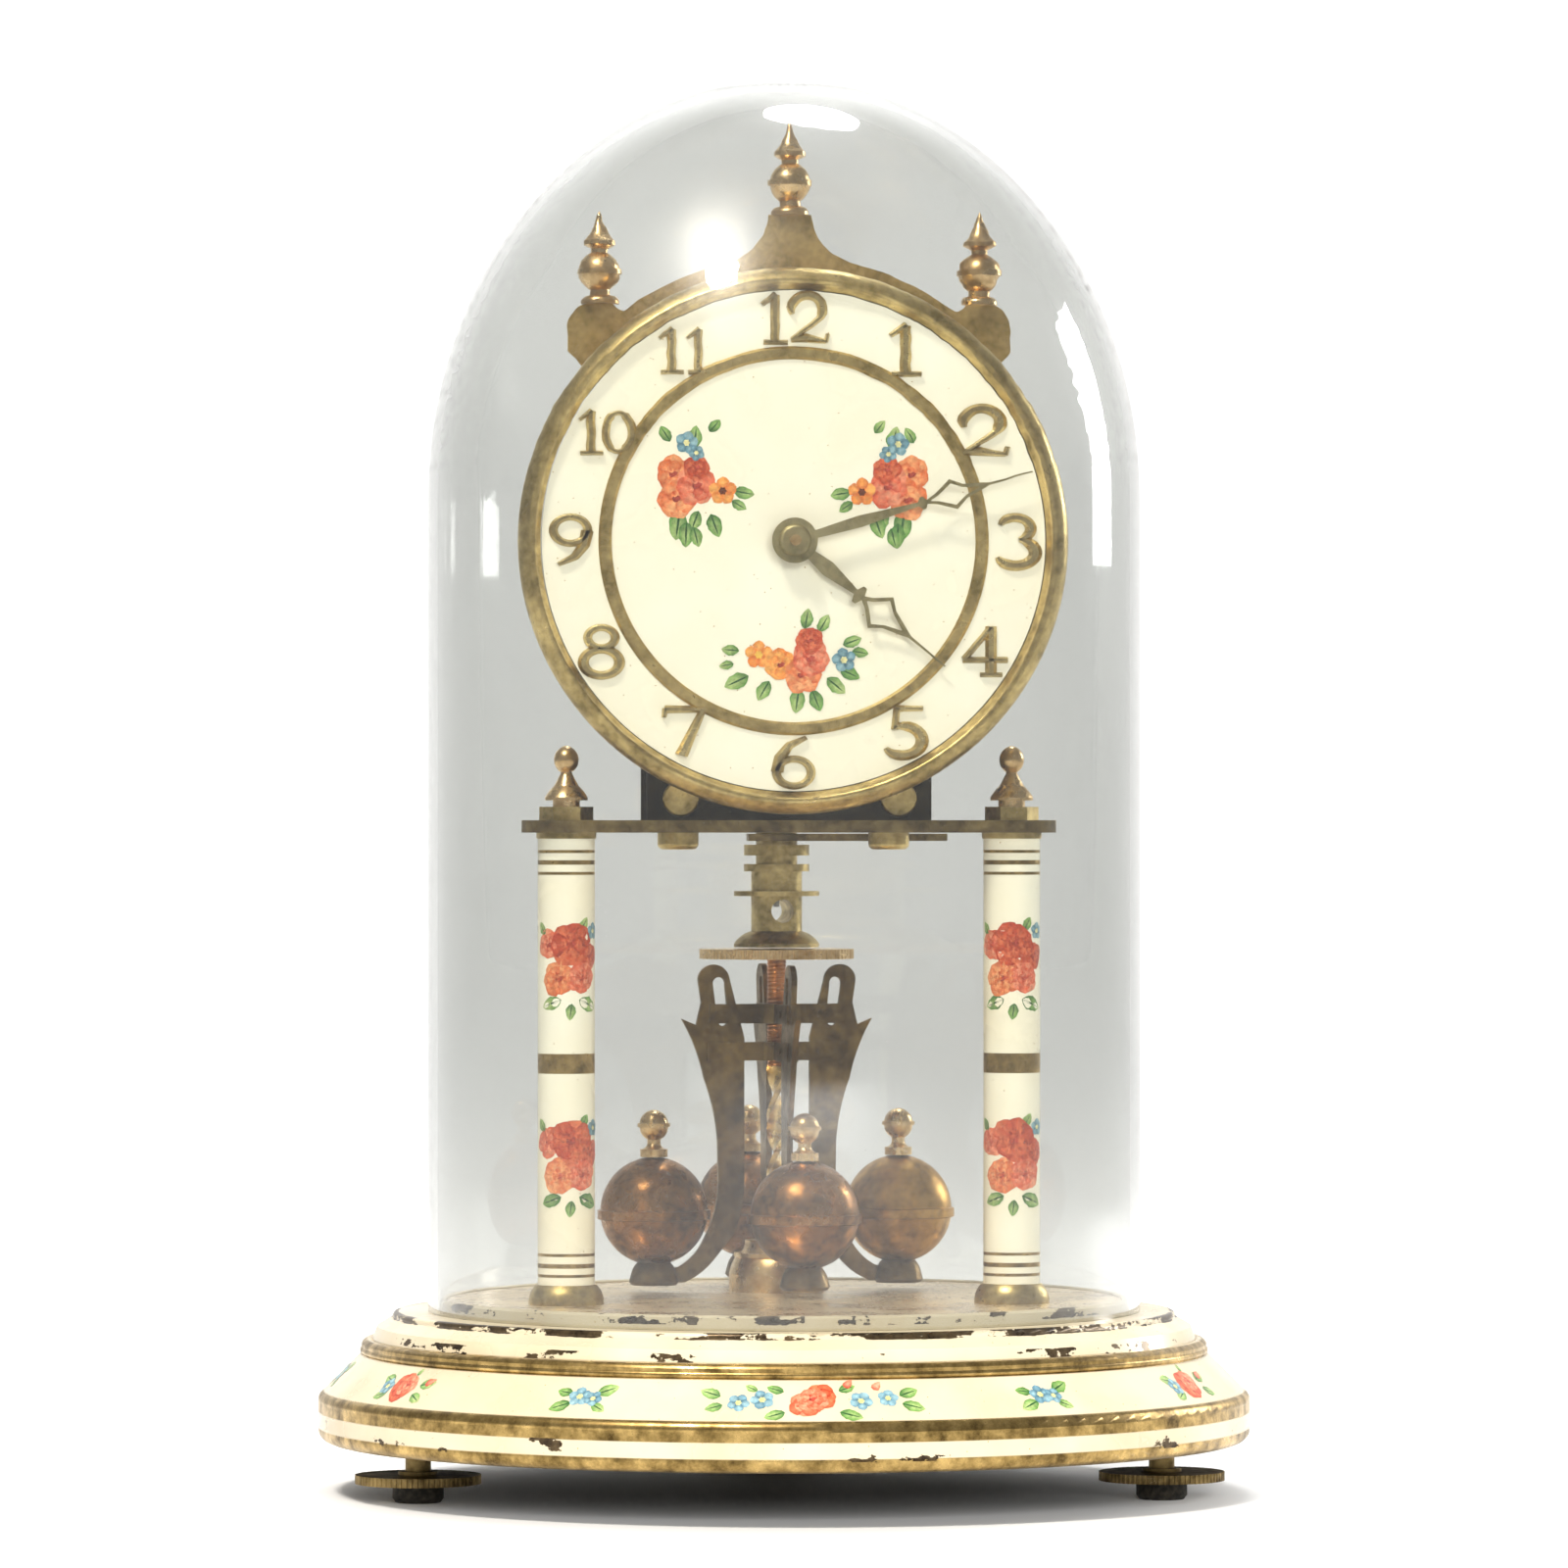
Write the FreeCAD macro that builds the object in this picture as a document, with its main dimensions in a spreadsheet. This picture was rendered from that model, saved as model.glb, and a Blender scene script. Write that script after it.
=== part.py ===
"""Anniversary clock under a glass dome: base, pillars, movement, dial and torsion pendulum.

Millimetres. The origin is the middle of the footprint on the floor, +Z is up, the dial faces -Y.
Turned and sheet pieces are sketched from named sizes; toothed, spiral and pierced pieces are
worked out from their tooth counts and pitches.
"""
import FreeCAD, Part
import math
import os
import re
import Sketcher

V = FreeCAD.Vector

DIMS = {
    # base
    "base_radius": 95, "base_bottom": 10.8, "shell_wall": 1.2, "shell_top": 38.4,
    "floor_radius": 68.8, "floor_top": 39.4, "ring_radius": 70.2, "seat_top": 37.0,
    "crest_radius": 79.5, "step_radius": 84, "step_level": 31.4, "upper_bead_radius": 86.2,
    "cone_top": 28.6, "cone_foot_radius": 94, "cone_foot": 20.8, "plate_radius": 92.3,
    "base_plate_level": 12.3, "base_plate_thick": 2,
    # levelling feet
    "foot_x": 75, "foot_y": -24, "rear_foot_y": 79, "foot_radius": 12.7, "foot_level": 3.8,
    "foot_thick": 1.8, "foot_hub": 4, "stud_radius": 2.6, "stud_top": 19, "tip_radius": 5.15,
    "tip_thick": 3.4, "bush_radius": 5, "bush_top": 18, "fit": 0.05,
    # pillars
    "pillar_x": 44.9, "pillar_y": -19, "pillar_radius": 5.72, "pillar_bore": 3, "pillar_top": 134.5,
    "ferrule_radius": 7.55, "ferrule_height": 4, "cap_radius": 6, "cap_height": 1.2,
    "rod_radius": 2, "rod_bottom": 33, "rod_top": 141, "rod_nut": 4.2,
    # platform
    "platform_thick": 2.5, "ear_radius": 8.9, "platform_half": 31, "platform_back": 37,
    "head_hole": 8, "nut_corner": 5.4, "nut_thick": 2.7, "lock_x": 21.6, "lock_y": 2,
    "lock_head": 4.2, "lock_thick": 3.5, "lock_shank": 1.5,
    # pendulum
    "axis_y": 27, "swing_rest": 9.5, "ball_circle": 26.1, "ball_radius": 11.2, "ball_level": 56.2,
    "belt_radius": 11.75, "tip_flat": 0.35, "head_bore": 1.5, "disc_radius": 16.1, "disc_level": 108.3,
    "disc_thick": 2, "spindle_radius": 1.82, "arm_thick": 1.2, "pad_radius": 5.2,
    # movement
    "front_y": -17.2, "back_y": 15, "plate_thick": 1.8, "plate_half": 28.7, "plate_top": 222,
    "post_x": 22, "post_low": 141.3, "post_high": 217, "post_radius": 3.2, "screw_head": 3.6,
    "centre_z": 192.9, "arbor": 1.1, "barrel_x": -7.6, "barrel_z": 160.6, "anchor_z": 215.3,
    "stage_z": 8.61, "motion_z": 12,
    # dial
    "dial_y": -34, "pan_radius": 50.1, "pan_depth": 7, "sheet_thick": 0.8, "bezel_radius": 54.6,
    "bezel_bore": 50.3, "ring_outer": 38.9, "ring_inner": 36.3, "numeral_circle": 44.4,
    "numeral_height": 9.6, "pair_height": 8.1, "numeral_thick": 1.2, "crown_radius": 57.8,
    "crown_y": -19, "crown_thick": 1.5, "crown_top": 259, "ear_x": 38.2, "ear_top": 241,
    "minute_angle": 73.6, "hour_angle": 129.9,
    # glass dome
    "dome_radius": 72.7, "dome_wall": 2, "dome_shoulder": 202.6, "dome_top": 288,
}
MOTION_WORK = {"cannon": (12, 0.5), "minute": (36, 0.5), "minute_pinion": (10, 0.48),
               "hour": (40, 0.48)}

doc = FreeCAD.newDocument("anniversary_clock")
sheet = doc.addObject("Spreadsheet::Sheet", "Dims")
for row, (alias, size) in enumerate(DIMS.items(), start=1):
    sheet.set(f"A{row}", alias)
    sheet.set(f"B{row}", str(size))
    sheet.setAlias(f"B{row}", alias)
doc.recompute()
pieces = []


# ---- helpers -----------------------------------------------------------------------------------
def linked(text):
    """The same sum, with each word pointing at its cell."""
    return re.sub(r"[a-z][a-z_]*", lambda word: "Dims." + word.group(), str(text))


def size_of(text):
    """A sum's value, in millimetres."""
    value = sheet.evalExpression(linked(text))
    return float(getattr(value, "Value", value))


def origin_plane(body, role):
    return [part for part in body.Origin.OriginFeatures if part.Role == role][0]


def new_sketch(body, role, name):
    sketch = body.newObject("Sketcher::SketchObject", name)
    sketch.AttachmentSupport = [(origin_plane(body, role), "")]
    sketch.MapMode = "FlatFace"
    return sketch


def bind(sketch, kind, geometry, point, text):
    """Hold one coordinate of a point at a sum of sheet cells."""
    value = size_of(text)
    if abs(value) < 1e-9:
        axis = -2 if kind == "DistanceX" else -1
        sketch.addConstraint(Sketcher.Constraint("PointOnObject", geometry, point, axis))
        return
    index = sketch.addConstraint(Sketcher.Constraint(kind, geometry, point, value))
    sketch.setExpression(f"Constraints[{index}]", linked(text))


def draw_outline(sketch, corners):
    """Closed outline. A corner is (x, y) or (x, y, radius) for an arc that arrives there;
    a positive radius turns left."""
    places = [V(size_of(corner[0]), size_of(corner[1]), 0) for corner in corners]
    first = sketch.GeometryCount
    ends = []
    for index, corner in enumerate(corners):
        start, stop = places[index - 1], places[index]
        if len(corner) == 2:
            sketch.addGeometry(Part.LineSegment(start, stop), False)
            ends.append((1, 2))
            continue
        turn = size_of(corner[2])
        chord = stop - start
        rise = math.sqrt(max(turn * turn - chord.Length ** 2 / 4, 0))
        normal = V(-chord.y, chord.x, 0).normalize()
        middle = (start + stop) * 0.5 + normal * math.copysign(rise, turn)
        angle_start = math.atan2(start.y - middle.y, start.x - middle.x)
        angle_stop = math.atan2(stop.y - middle.y, stop.x - middle.x)
        circle = Part.Circle(middle, V(0, 0, 1), abs(turn))
        if turn > 0:
            sketch.addGeometry(Part.ArcOfCircle(circle, angle_start, angle_stop), False)
            ends.append((1, 2))
        else:
            sketch.addGeometry(Part.ArcOfCircle(circle, angle_stop, angle_start), False)
            ends.append((2, 1))
    for index, corner in enumerate(corners):
        geometry = first + index
        following = (index + 1) % len(corners)
        sketch.addConstraint(Sketcher.Constraint("Coincident", geometry, ends[index][1],
                                                 first + following, ends[following][0]))
        bind(sketch, "DistanceX", geometry, ends[index][1], corner[0])
        bind(sketch, "DistanceY", geometry, ends[index][1], corner[1])
        if len(corner) == 3:
            radius = sketch.addConstraint(
                Sketcher.Constraint("Radius", geometry, abs(size_of(corner[2]))))
            sketch.setExpression(f"Constraints[{radius}]", linked(str(corner[2]).lstrip("-")))


def draw_circle(sketch, x, y, radius):
    middle = V(size_of(x), size_of(y), 0)
    geometry = sketch.addGeometry(Part.Circle(middle, V(0, 0, 1), size_of(radius)), False)
    bind(sketch, "DistanceX", geometry, 3, x)
    bind(sketch, "DistanceY", geometry, 3, y)
    index = sketch.addConstraint(Sketcher.Constraint("Radius", geometry, size_of(radius)))
    sketch.setExpression(f"Constraints[{index}]", linked(radius))


def place(piece, at=(0, 0, 0), turn=None):
    """Bind a piece's position to the sheet; turn is an optional rotation."""
    if turn is not None:
        piece.Placement = FreeCAD.Placement(V(0, 0, 0), turn)
    for axis, text in zip("xyz", at):
        piece.setExpression(f"Placement.Base.{axis}", linked(text))


def keep(piece, name):
    """File a finished piece under its node name."""
    piece.Label = name
    pieces.append(piece)
    return piece


def lathe(name, outline, at=(0, 0, 0), turn=None):
    """A turned body: an (r, height) outline spun about its own upright axis."""
    body = doc.addObject("PartDesign::Body", name + "_body")
    sketch = new_sketch(body, "XZ_Plane", name + "_profile")
    draw_outline(sketch, outline)
    spin = body.newObject("PartDesign::Revolution", name + "_spin")
    spin.Profile = sketch
    spin.ReferenceAxis = (sketch, ["V_Axis"])
    spin.Angle = 360
    place(body, at, turn)
    return body


def slab(name, outline, thick, at=(0, 0, 0), holes=(), role="XY_Plane", turn=None):
    """A flat body: an outline with round holes, padded along its plane's normal."""
    body = doc.addObject("PartDesign::Body", name + "_body")
    sketch = new_sketch(body, role, name + "_outline")
    draw_outline(sketch, outline)
    for hole in holes:
        draw_circle(sketch, *hole)
    pad = body.newObject("PartDesign::Pad", name + "_pad")
    pad.Profile = sketch
    pad.setExpression("Length", linked(thick))
    place(body, at, turn)
    return body


def disc(radius, low, high, bore="0"):
    """The outline of a plain disc or tube, for lathe()."""
    return [(bore, low), (radius, low), (radius, high), (bore, high)]


def tower(steps, low="0"):
    """Outline of a solid turned piece from (radius, top) steps, bottom to top."""
    outline = [("0", low)]
    level = low
    for radius, top in steps:
        outline.append((radius, level))
        outline.append((radius, top))
        level = top
    outline.append(("0", level))
    return outline


def joined(name, members):
    """Several bodies in one node, kept as separate solids."""
    group = doc.addObject("Part::Compound", name + "_group")
    group.Links = members
    return keep(group, name)


def welded(name, members):
    """Bodies made as one solid."""
    fuse = doc.addObject("Part::MultiFuse", name + "_solid")
    fuse.Shapes = members
    fuse.Refine = True
    return keep(fuse, name)


def cut_from(name, base, tools):
    """A body with other bodies taken out of it."""
    union = tools[0]
    if len(tools) > 1:
        union = doc.addObject("Part::MultiFuse", name + "_tools")
        union.Shapes = tools
    cut = doc.addObject("Part::Cut", name + "_cut")
    cut.Base = base
    cut.Tool = union
    return keep(cut, name)


def feature(name, shape, at=(0, 0, 0), turn=None):
    """A shape made by code, for toothed and spiral pieces; the compound keeps its own place."""
    made = doc.addObject("Part::Feature", name + "_shape")
    made.Shape = Part.makeCompound([shape])
    place(made, at, turn)
    return made


FORWARD = FreeCAD.Rotation(V(1, 0, 0), 90)      # own +Z points to the dial side, -Y
SPUN = FreeCAD.Rotation(V(0, 0, 1), size_of("swing_rest"))


# ---- base --------------------------------------------------------------------------------------
def make_base():
    shell = lathe("base_shell", [
        ("18", "shell_top"), ("ring_radius - 1.2", "shell_top"),
        ("ring_radius - 1.2", "floor_top + 0.2"), ("ring_radius - 0.5", "floor_top + 0.5"),
        ("ring_radius", "floor_top"), ("ring_radius + 0.2", "seat_top"),
        ("crest_radius - 0.8", "seat_top"), ("crest_radius + 0.3", "seat_top - 1.1", "-0.9"),
        ("step_radius - 1", "seat_top - 3"), ("step_radius", "step_level"),
        ("upper_bead_radius", "step_level - 0.9", "-1.7"), ("upper_bead_radius", "cone_top + 1.2"),
        ("upper_bead_radius", "cone_top", "-0.75"), ("cone_foot_radius", "cone_foot"),
        ("base_radius", "cone_foot - 2", "-1.9"), ("base_radius", "base_bottom + 2.6"),
        ("base_radius - 2", "base_bottom", "-2.4"), ("base_radius - 3.4", "base_bottom"),
        ("base_radius - shell_wall", "base_bottom + 3.2"),
        ("base_radius - shell_wall", "cone_foot - 2.4"),
        ("cone_foot_radius - 1.4", "cone_foot - 0.7"),
        ("upper_bead_radius - 1.4", "cone_top - 0.7"), ("step_radius - 1.6", "step_level - 0.6"),
        ("crest_radius - 1.2", "seat_top - 1.6"), ("ring_radius - 0.8", "seat_top - shell_wall"),
        ("ring_radius - 2.4", "shell_top - shell_wall"), ("18", "shell_top - shell_wall")])
    rod_holes = []
    for side in ("", "-"):
        rod_holes.append(lathe("shell_rod_hole", disc("rod_radius", "shell_top - 3", "shell_top + 3"),
                               (f"{side}pillar_x", "pillar_y", "0")))
    cut_from("base_shell", shell, rod_holes)

    feet = [("-foot_x", "foot_y", "left"), ("foot_x", "foot_y", "right"), ("0", "rear_foot_y", "rear")]
    plate = lathe("base_plate", disc("plate_radius", "base_plate_level",
                                     "base_plate_level + base_plate_thick"))
    bushes = [lathe("foot_bush", disc("bush_radius", "base_bottom + 0.4", "bush_top"), (x, y, "0"))
              for x, y, side in feet]
    drills = [lathe("foot_drill", disc("stud_radius + fit", "5", "25"), (x, y, "0"))
              for x, y, side in feet]
    blank = doc.addObject("Part::MultiFuse", "plate_blank")
    blank.Shapes = [plate] + bushes
    cut_from("base_plate", blank, drills)
    for x, y, side in feet:
        make_foot(x, y, side)

    floor = lathe("floor_disc", disc("floor_radius", "shell_top", "floor_top"))
    drills = [lathe("floor_drill", disc("rod_radius", "30", "45"), (f"{side}pillar_x", "pillar_y", "0"))
              for side in ("", "-")]
    cut_from("floor_disc", floor, drills)
    cup = lathe("pendulum_cup", [
        ("0", "floor_top"), ("9.9", "floor_top"), ("9.9", "43"), ("8.6", "46.5", "9"),
        ("8.9", "46.5"), ("8.9", "47.4"), ("7.6", "47.4"), ("6.6", "50", "-3"), ("3", "50"),
        ("3", "42"), ("0", "42")], ("0", "axis_y", "0"))
    keep(cup, "pendulum_cup")


def make_foot(x, y, side):
    """Knurled brass levelling screw with a rubber tip."""
    foot = lathe(side + "_foot", tower([
        ("foot_hub", "foot_level"), ("foot_radius", "foot_level + foot_thick"),
        ("foot_hub", "foot_level + foot_thick + 0.7"), ("stud_radius", "stud_top")], "tip_thick"),
        (x, y, "0"))
    grooves = []
    count = 72
    for step in range(count):
        groove = Part.makeCylinder(0.32, 4, V(size_of("foot_radius") + 0.08, 0,
                                              size_of("foot_level") - 1))
        groove.rotate(V(0, 0, 0), V(0, 0, 1), 360 * step / count)
        grooves.append(groove)
    knurl = feature(side + "_foot_knurl", Part.makeCompound(grooves), (x, y, "0"))
    cut_from(side + "_levelling_foot", foot, [knurl])
    tip = lathe(side + "_tip", [("0", "0"), ("tip_radius - 0.65", "0"), ("tip_radius", "0.9"),
                                ("tip_radius", "tip_thick"), ("0", "tip_thick")], (x, y, "0"))
    keep(tip, side + "_foot_tip")


# ---- pillars and platform ----------------------------------------------------------------------
def make_pillars():
    ferrules = []
    finials = []
    rods = []
    for side, sign in (("left", "-"), ("right", "")):
        at = (f"{sign}pillar_x", "pillar_y", "0")
        keep(lathe(side + "_pillar", disc("pillar_radius", "floor_top", "pillar_top", "pillar_bore"), at),
             side + "_pillar")
        ferrules.append(lathe(side + "_ferrule", [
            ("pillar_radius", "floor_top"), ("ferrule_radius", "floor_top"),
            ("ferrule_radius", "floor_top + 0.6"),
            ("pillar_radius + 0.35", "floor_top + ferrule_height", "5"),
            ("pillar_radius", "floor_top + ferrule_height")], at))
        ferrules.append(lathe(side + "_cap", disc(
            "cap_radius", "pillar_top - cap_height", "pillar_top", "pillar_radius"), at))
        rods.append(lathe(side + "_rod", tower([
            ("rod_radius", "rod_bottom + 1"), ("rod_nut", "shell_top - shell_wall"),
            ("rod_radius", "rod_top")], "rod_bottom"), at))
        finials.append(lathe(side + "_finial", [
            ("rod_radius", "139.7"), ("2.7", "139.7"), ("2.7", "141.0"), ("4.3", "141.0"), ("4.3", "141.6"),
            ("2.5", "143.9", "8"), ("1.15", "146.4"), ("1.15", "146.7"), ("tip_flat", "152", "2.95"),
            ("0", "152"), ("0", "141.2"), ("rod_radius", "141.2")], at))
    joined("pillar_ferrules", ferrules)
    joined("pillar_finials", finials)
    return rods


def make_platform(rods):
    ear_low = "pillar_y - ear_radius"
    ear_high = "pillar_y + ear_radius"
    outline = [("pillar_x", ear_low), ("pillar_x + ear_radius", "pillar_y", "ear_radius"),
               ("pillar_x", ear_high, "ear_radius"), ("platform_half + 3", "-7"),
               ("platform_half", "-3.6"), ("platform_half", "platform_back - 7"),
               ("platform_half - 7", "platform_back", "7"), ("7 - platform_half", "platform_back"),
               ("-platform_half", "platform_back - 7", "7"), ("-platform_half", "-3.6"),
               ("-platform_half - 3", "-7"), ("-pillar_x", ear_high),
               ("-pillar_x - ear_radius", "pillar_y", "ear_radius"),
               ("-pillar_x", ear_low, "ear_radius")]
    holes = [("0", "axis_y", "head_hole"), ("pillar_x", "pillar_y", "rod_radius"),
             ("-pillar_x", "pillar_y", "rod_radius"), ("lock_x", "lock_y", "lock_shank"),
             ("-lock_x", "lock_y", "lock_shank"), ("24", "axis_y", "1.55")]
    keep(slab("platform", outline, "platform_thick", ("0", "0", "pillar_top"), holes), "platform")
    fasteners = []
    for sign in ("-", ""):
        corners = []
        for step in range(6):
            across = f"nut_corner * {math.cos(math.radians(60 * step)):.4f}"
            along = f"nut_corner * {math.sin(math.radians(60 * step)):.4f}"
            corners.append((across, along))
        fasteners.append(slab("hex_nut", corners, "nut_thick",
                              (f"{sign}pillar_x", "pillar_y", "pillar_top + platform_thick"),
                              [("0", "0", "rod_radius")]))
        fasteners.append(lathe("lock_screw", [
            ("0", "pillar_top - lock_thick"), ("lock_head - 1.2", "pillar_top - lock_thick"),
            ("lock_head", "pillar_top - lock_thick + 1.2", "1.2"), ("lock_head", "pillar_top"),
            ("lock_shank", "pillar_top"), ("lock_shank", "post_low - post_radius"),
            ("0", "post_low - post_radius")],
            (f"{sign}lock_x", "lock_y", "0")))
    fasteners.append(lathe("lock_pivot_screw", tower([
        ("2.9", "pillar_top - 2.1"), ("1.5", "pillar_top + platform_thick"),
        ("2.9", "pillar_top + platform_thick + 1.4")], "pillar_top - 3.3"), ("24", "axis_y", "0")))
    joined("platform_fasteners", fasteners + rods)


# ---- movement frame ----------------------------------------------------------------------------
def frame_outline():
    low = "pillar_top + platform_thick"
    return [("-plate_half", low), ("plate_half", low), ("plate_half", "plate_top - 3"),
            ("plate_half - 3", "plate_top", "3"), ("3 - plate_half", "plate_top"),
            ("-plate_half", "plate_top - 3", "3")]


def make_frame(axes):
    """Two plates, four posts, their screws, and the suspension bracket."""
    pivots = [(f"{x:.4f}", f"{z:.4f}", f"{radius} + fit") for x, z, radius in axes]
    front = slab("front_plate", frame_outline(), "plate_thick", ("0", "front_y", "0"), pivots,
                 "XZ_Plane")
    stud = lathe("minute_wheel_stud", tower([("1", "6.4"), ("1.8", "7")], "-0.5"),
                 ("0", "front_y - plate_thick", "centre_z - motion_z"), FORWARD)
    welded("front_plate", [front, stud])
    back = slab("back_plate", frame_outline(), "plate_thick", ("0", "back_y + plate_thick", "0"),
                pivots, "XZ_Plane")
    keep(back, "back_plate")
    posts = []
    screws = []
    for across in ("-post_x", "post_x"):
        for level in ("post_low", "post_high"):
            posts.append(lathe("post", disc("post_radius", "0", "back_y - front_y"),
                               (across, "back_y", level), FORWARD))
            face = "front_y - plate_thick"
            if level == "post_high":
                face = "crown_y - crown_thick"
            screws.append(slotted_screw((across, face, level), FORWARD))
            screws.append(slotted_screw((across, "back_y + plate_thick", level),
                                        FORWARD.multiply(FreeCAD.Rotation(V(1, 0, 0), 180))))
    joined("plate_posts", posts)
    joined("plate_screws", screws)


def slotted_screw(at, turn):
    """Cheese-head screw whose head stands on the plate's outer face."""
    head = lathe("screw_head", [("0", "0"), ("screw_head", "0"), ("screw_head", "1.5"),
                                ("screw_head - 0.5", "2", "0.5"), ("0", "2")])
    slot = doc.addObject("Part::Box", "screw_slot")
    slot.Length = 12
    slot.Width = 0.9
    slot.Height = 2
    slot.Placement.Base = V(-6, -0.45, 1.2)
    cut = doc.addObject("Part::Cut", "screw")
    cut.Base = head
    cut.Tool = slot
    place(cut, at, turn)
    return cut


def make_suspension():
    """Bracket on the back plate, the clamp block, the flat spring and its fork."""
    bracket = slab("bracket_stem", [("-8", "218.5"), ("8", "218.5"), ("8", "238"), ("-8", "238")],
                   "1.6", ("0", "back_y + plate_thick + 1.6", "0"), (), "XZ_Plane")
    arms = [slab("bracket_arm", [("1.9", "back_y + plate_thick"), ("5", "back_y + plate_thick"),
                                 ("5", "axis_y + 4"), ("1.9", "axis_y + 4")], "6",
                 ("0", "0", "232")),
            slab("bracket_arm", [("-5", "back_y + plate_thick"), ("-1.9", "back_y + plate_thick"),
                                 ("-1.9", "axis_y + 4"), ("-5", "axis_y + 4")], "6",
                 ("0", "0", "232"))]
    welded("suspension_bracket", [bracket] + arms)
    block = slab("suspension_block", [("-1.8", "axis_y - 3"), ("1.8", "axis_y - 3"),
                                      ("1.8", "axis_y + 3"), ("-1.8", "axis_y + 3")], "7",
                 ("0", "0", "231"))
    pin = lathe("suspension_pin", disc("0.8", "-7", "7"), ("0", "axis_y", "235"),
                FreeCAD.Rotation(V(0, 1, 0), 90))
    slot = slab("spring_slot", [("-0.6", "axis_y - 0.1"), ("0.6", "axis_y - 0.1"),
                                ("0.6", "axis_y + 0.1"), ("-0.6", "axis_y + 0.1")], "7",
                ("0", "0", "227"))
    clamp = doc.addObject("Part::MultiFuse", "clamp_blank")
    clamp.Shapes = [block, pin]
    cut_from("suspension_block", clamp, [slot])
    spring = slab("suspension_spring", [("-0.6", "axis_y - 0.1"), ("0.6", "axis_y - 0.1"),
                                        ("0.6", "axis_y + 0.1"), ("-0.6", "axis_y + 0.1")],
                  "234 - 119", ("0", "0", "119"))
    keep(spring, "suspension_spring")
    collar = lathe("fork_collar", disc("2.2", "224.8", "227.2", "0.95"), ("0", "axis_y", "0"))
    tines = [slab("fork_tine", [(f"{low}", "18.6"), (f"{high}", "18.6"), (f"{high}", "26"),
                                (f"{low}", "26")], "1", ("0", "0", "225.5"))
             for low, high in (("0.75", "1.75"), ("-1.75", "-0.75"))]
    welded("suspension_fork", [collar] + tines)


# ---- toothed wheels ----------------------------------------------------------------------------
def wheel_shape(teeth, module, thick, bore, phase, crossings=0, pointed=False):
    """A clock wheel in its own XY plane: slim teeth with room to run, and crossings."""
    pitch = teeth * module / 2
    tip = pitch + 0.62 * module
    root = pitch - 0.85 * module
    if pointed:
        tip = pitch
        root = pitch - 1.5
    step = 2 * math.pi / teeth
    corners = []
    for tooth in range(teeth):
        middle = phase + tooth * step
        spread = [(-0.27, root), (-0.11, tip), (0.11, tip), (0.27, root)]
        if pointed:
            spread = [(-0.05, root), (0.06, tip), (0.16, tip), (0.42, root)]
        for share, radius in spread:
            corners.append(V(radius * math.cos(middle + share * step),
                             radius * math.sin(middle + share * step), 0))
    blank = Part.Face(Part.makePolygon(corners + corners[:1])).extrude(V(0, 0, thick))
    blank = blank.cut(Part.makeCylinder(bore, thick, V(0, 0, 0)))
    if not crossings:
        return blank
    rim = root - 1.6
    hub = max(rim * 0.28, bore + 1.6)
    window = Part.makeCylinder(rim, thick).cut(Part.makeCylinder(hub, thick))
    for arm in range(crossings):
        spoke = Part.makeBox(rim + 1, 1.5, thick, V(0, -0.75, 0))
        spoke.rotate(V(0, 0, 0), V(0, 0, 1), 360 * (arm + 0.5) / crossings)
        window = window.cut(spoke)
    return blank.cut(window)


def mesh_phase(driver_phase, driver_teeth, teeth, line):
    """Where the second wheel's tooth stands so that the pair is in mesh; line is the way to it."""
    return line + math.pi - (driver_phase - line) * driver_teeth / teeth + math.pi / teeth


def towards(start, stop):
    return math.atan2(stop[1] - start[1], stop[0] - start[0])


def meeting_point(first, reach_first, second, reach_second, side):
    """The point at two given distances from two centres, on the chosen side."""
    gap_x, gap_z = second[0] - first[0], second[1] - first[1]
    gap = math.hypot(gap_x, gap_z)
    along = (reach_first ** 2 - reach_second ** 2 + gap ** 2) / (2 * gap)
    off = side * math.sqrt(reach_first ** 2 - along ** 2)
    return (first[0] + (along * gap_x - off * gap_z) / gap,
            first[1] + (along * gap_z + off * gap_x) / gap)


def arbor_shape(radius, low, high):
    return Part.makeCylinder(radius, high - low, V(0, 0, low))


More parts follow.
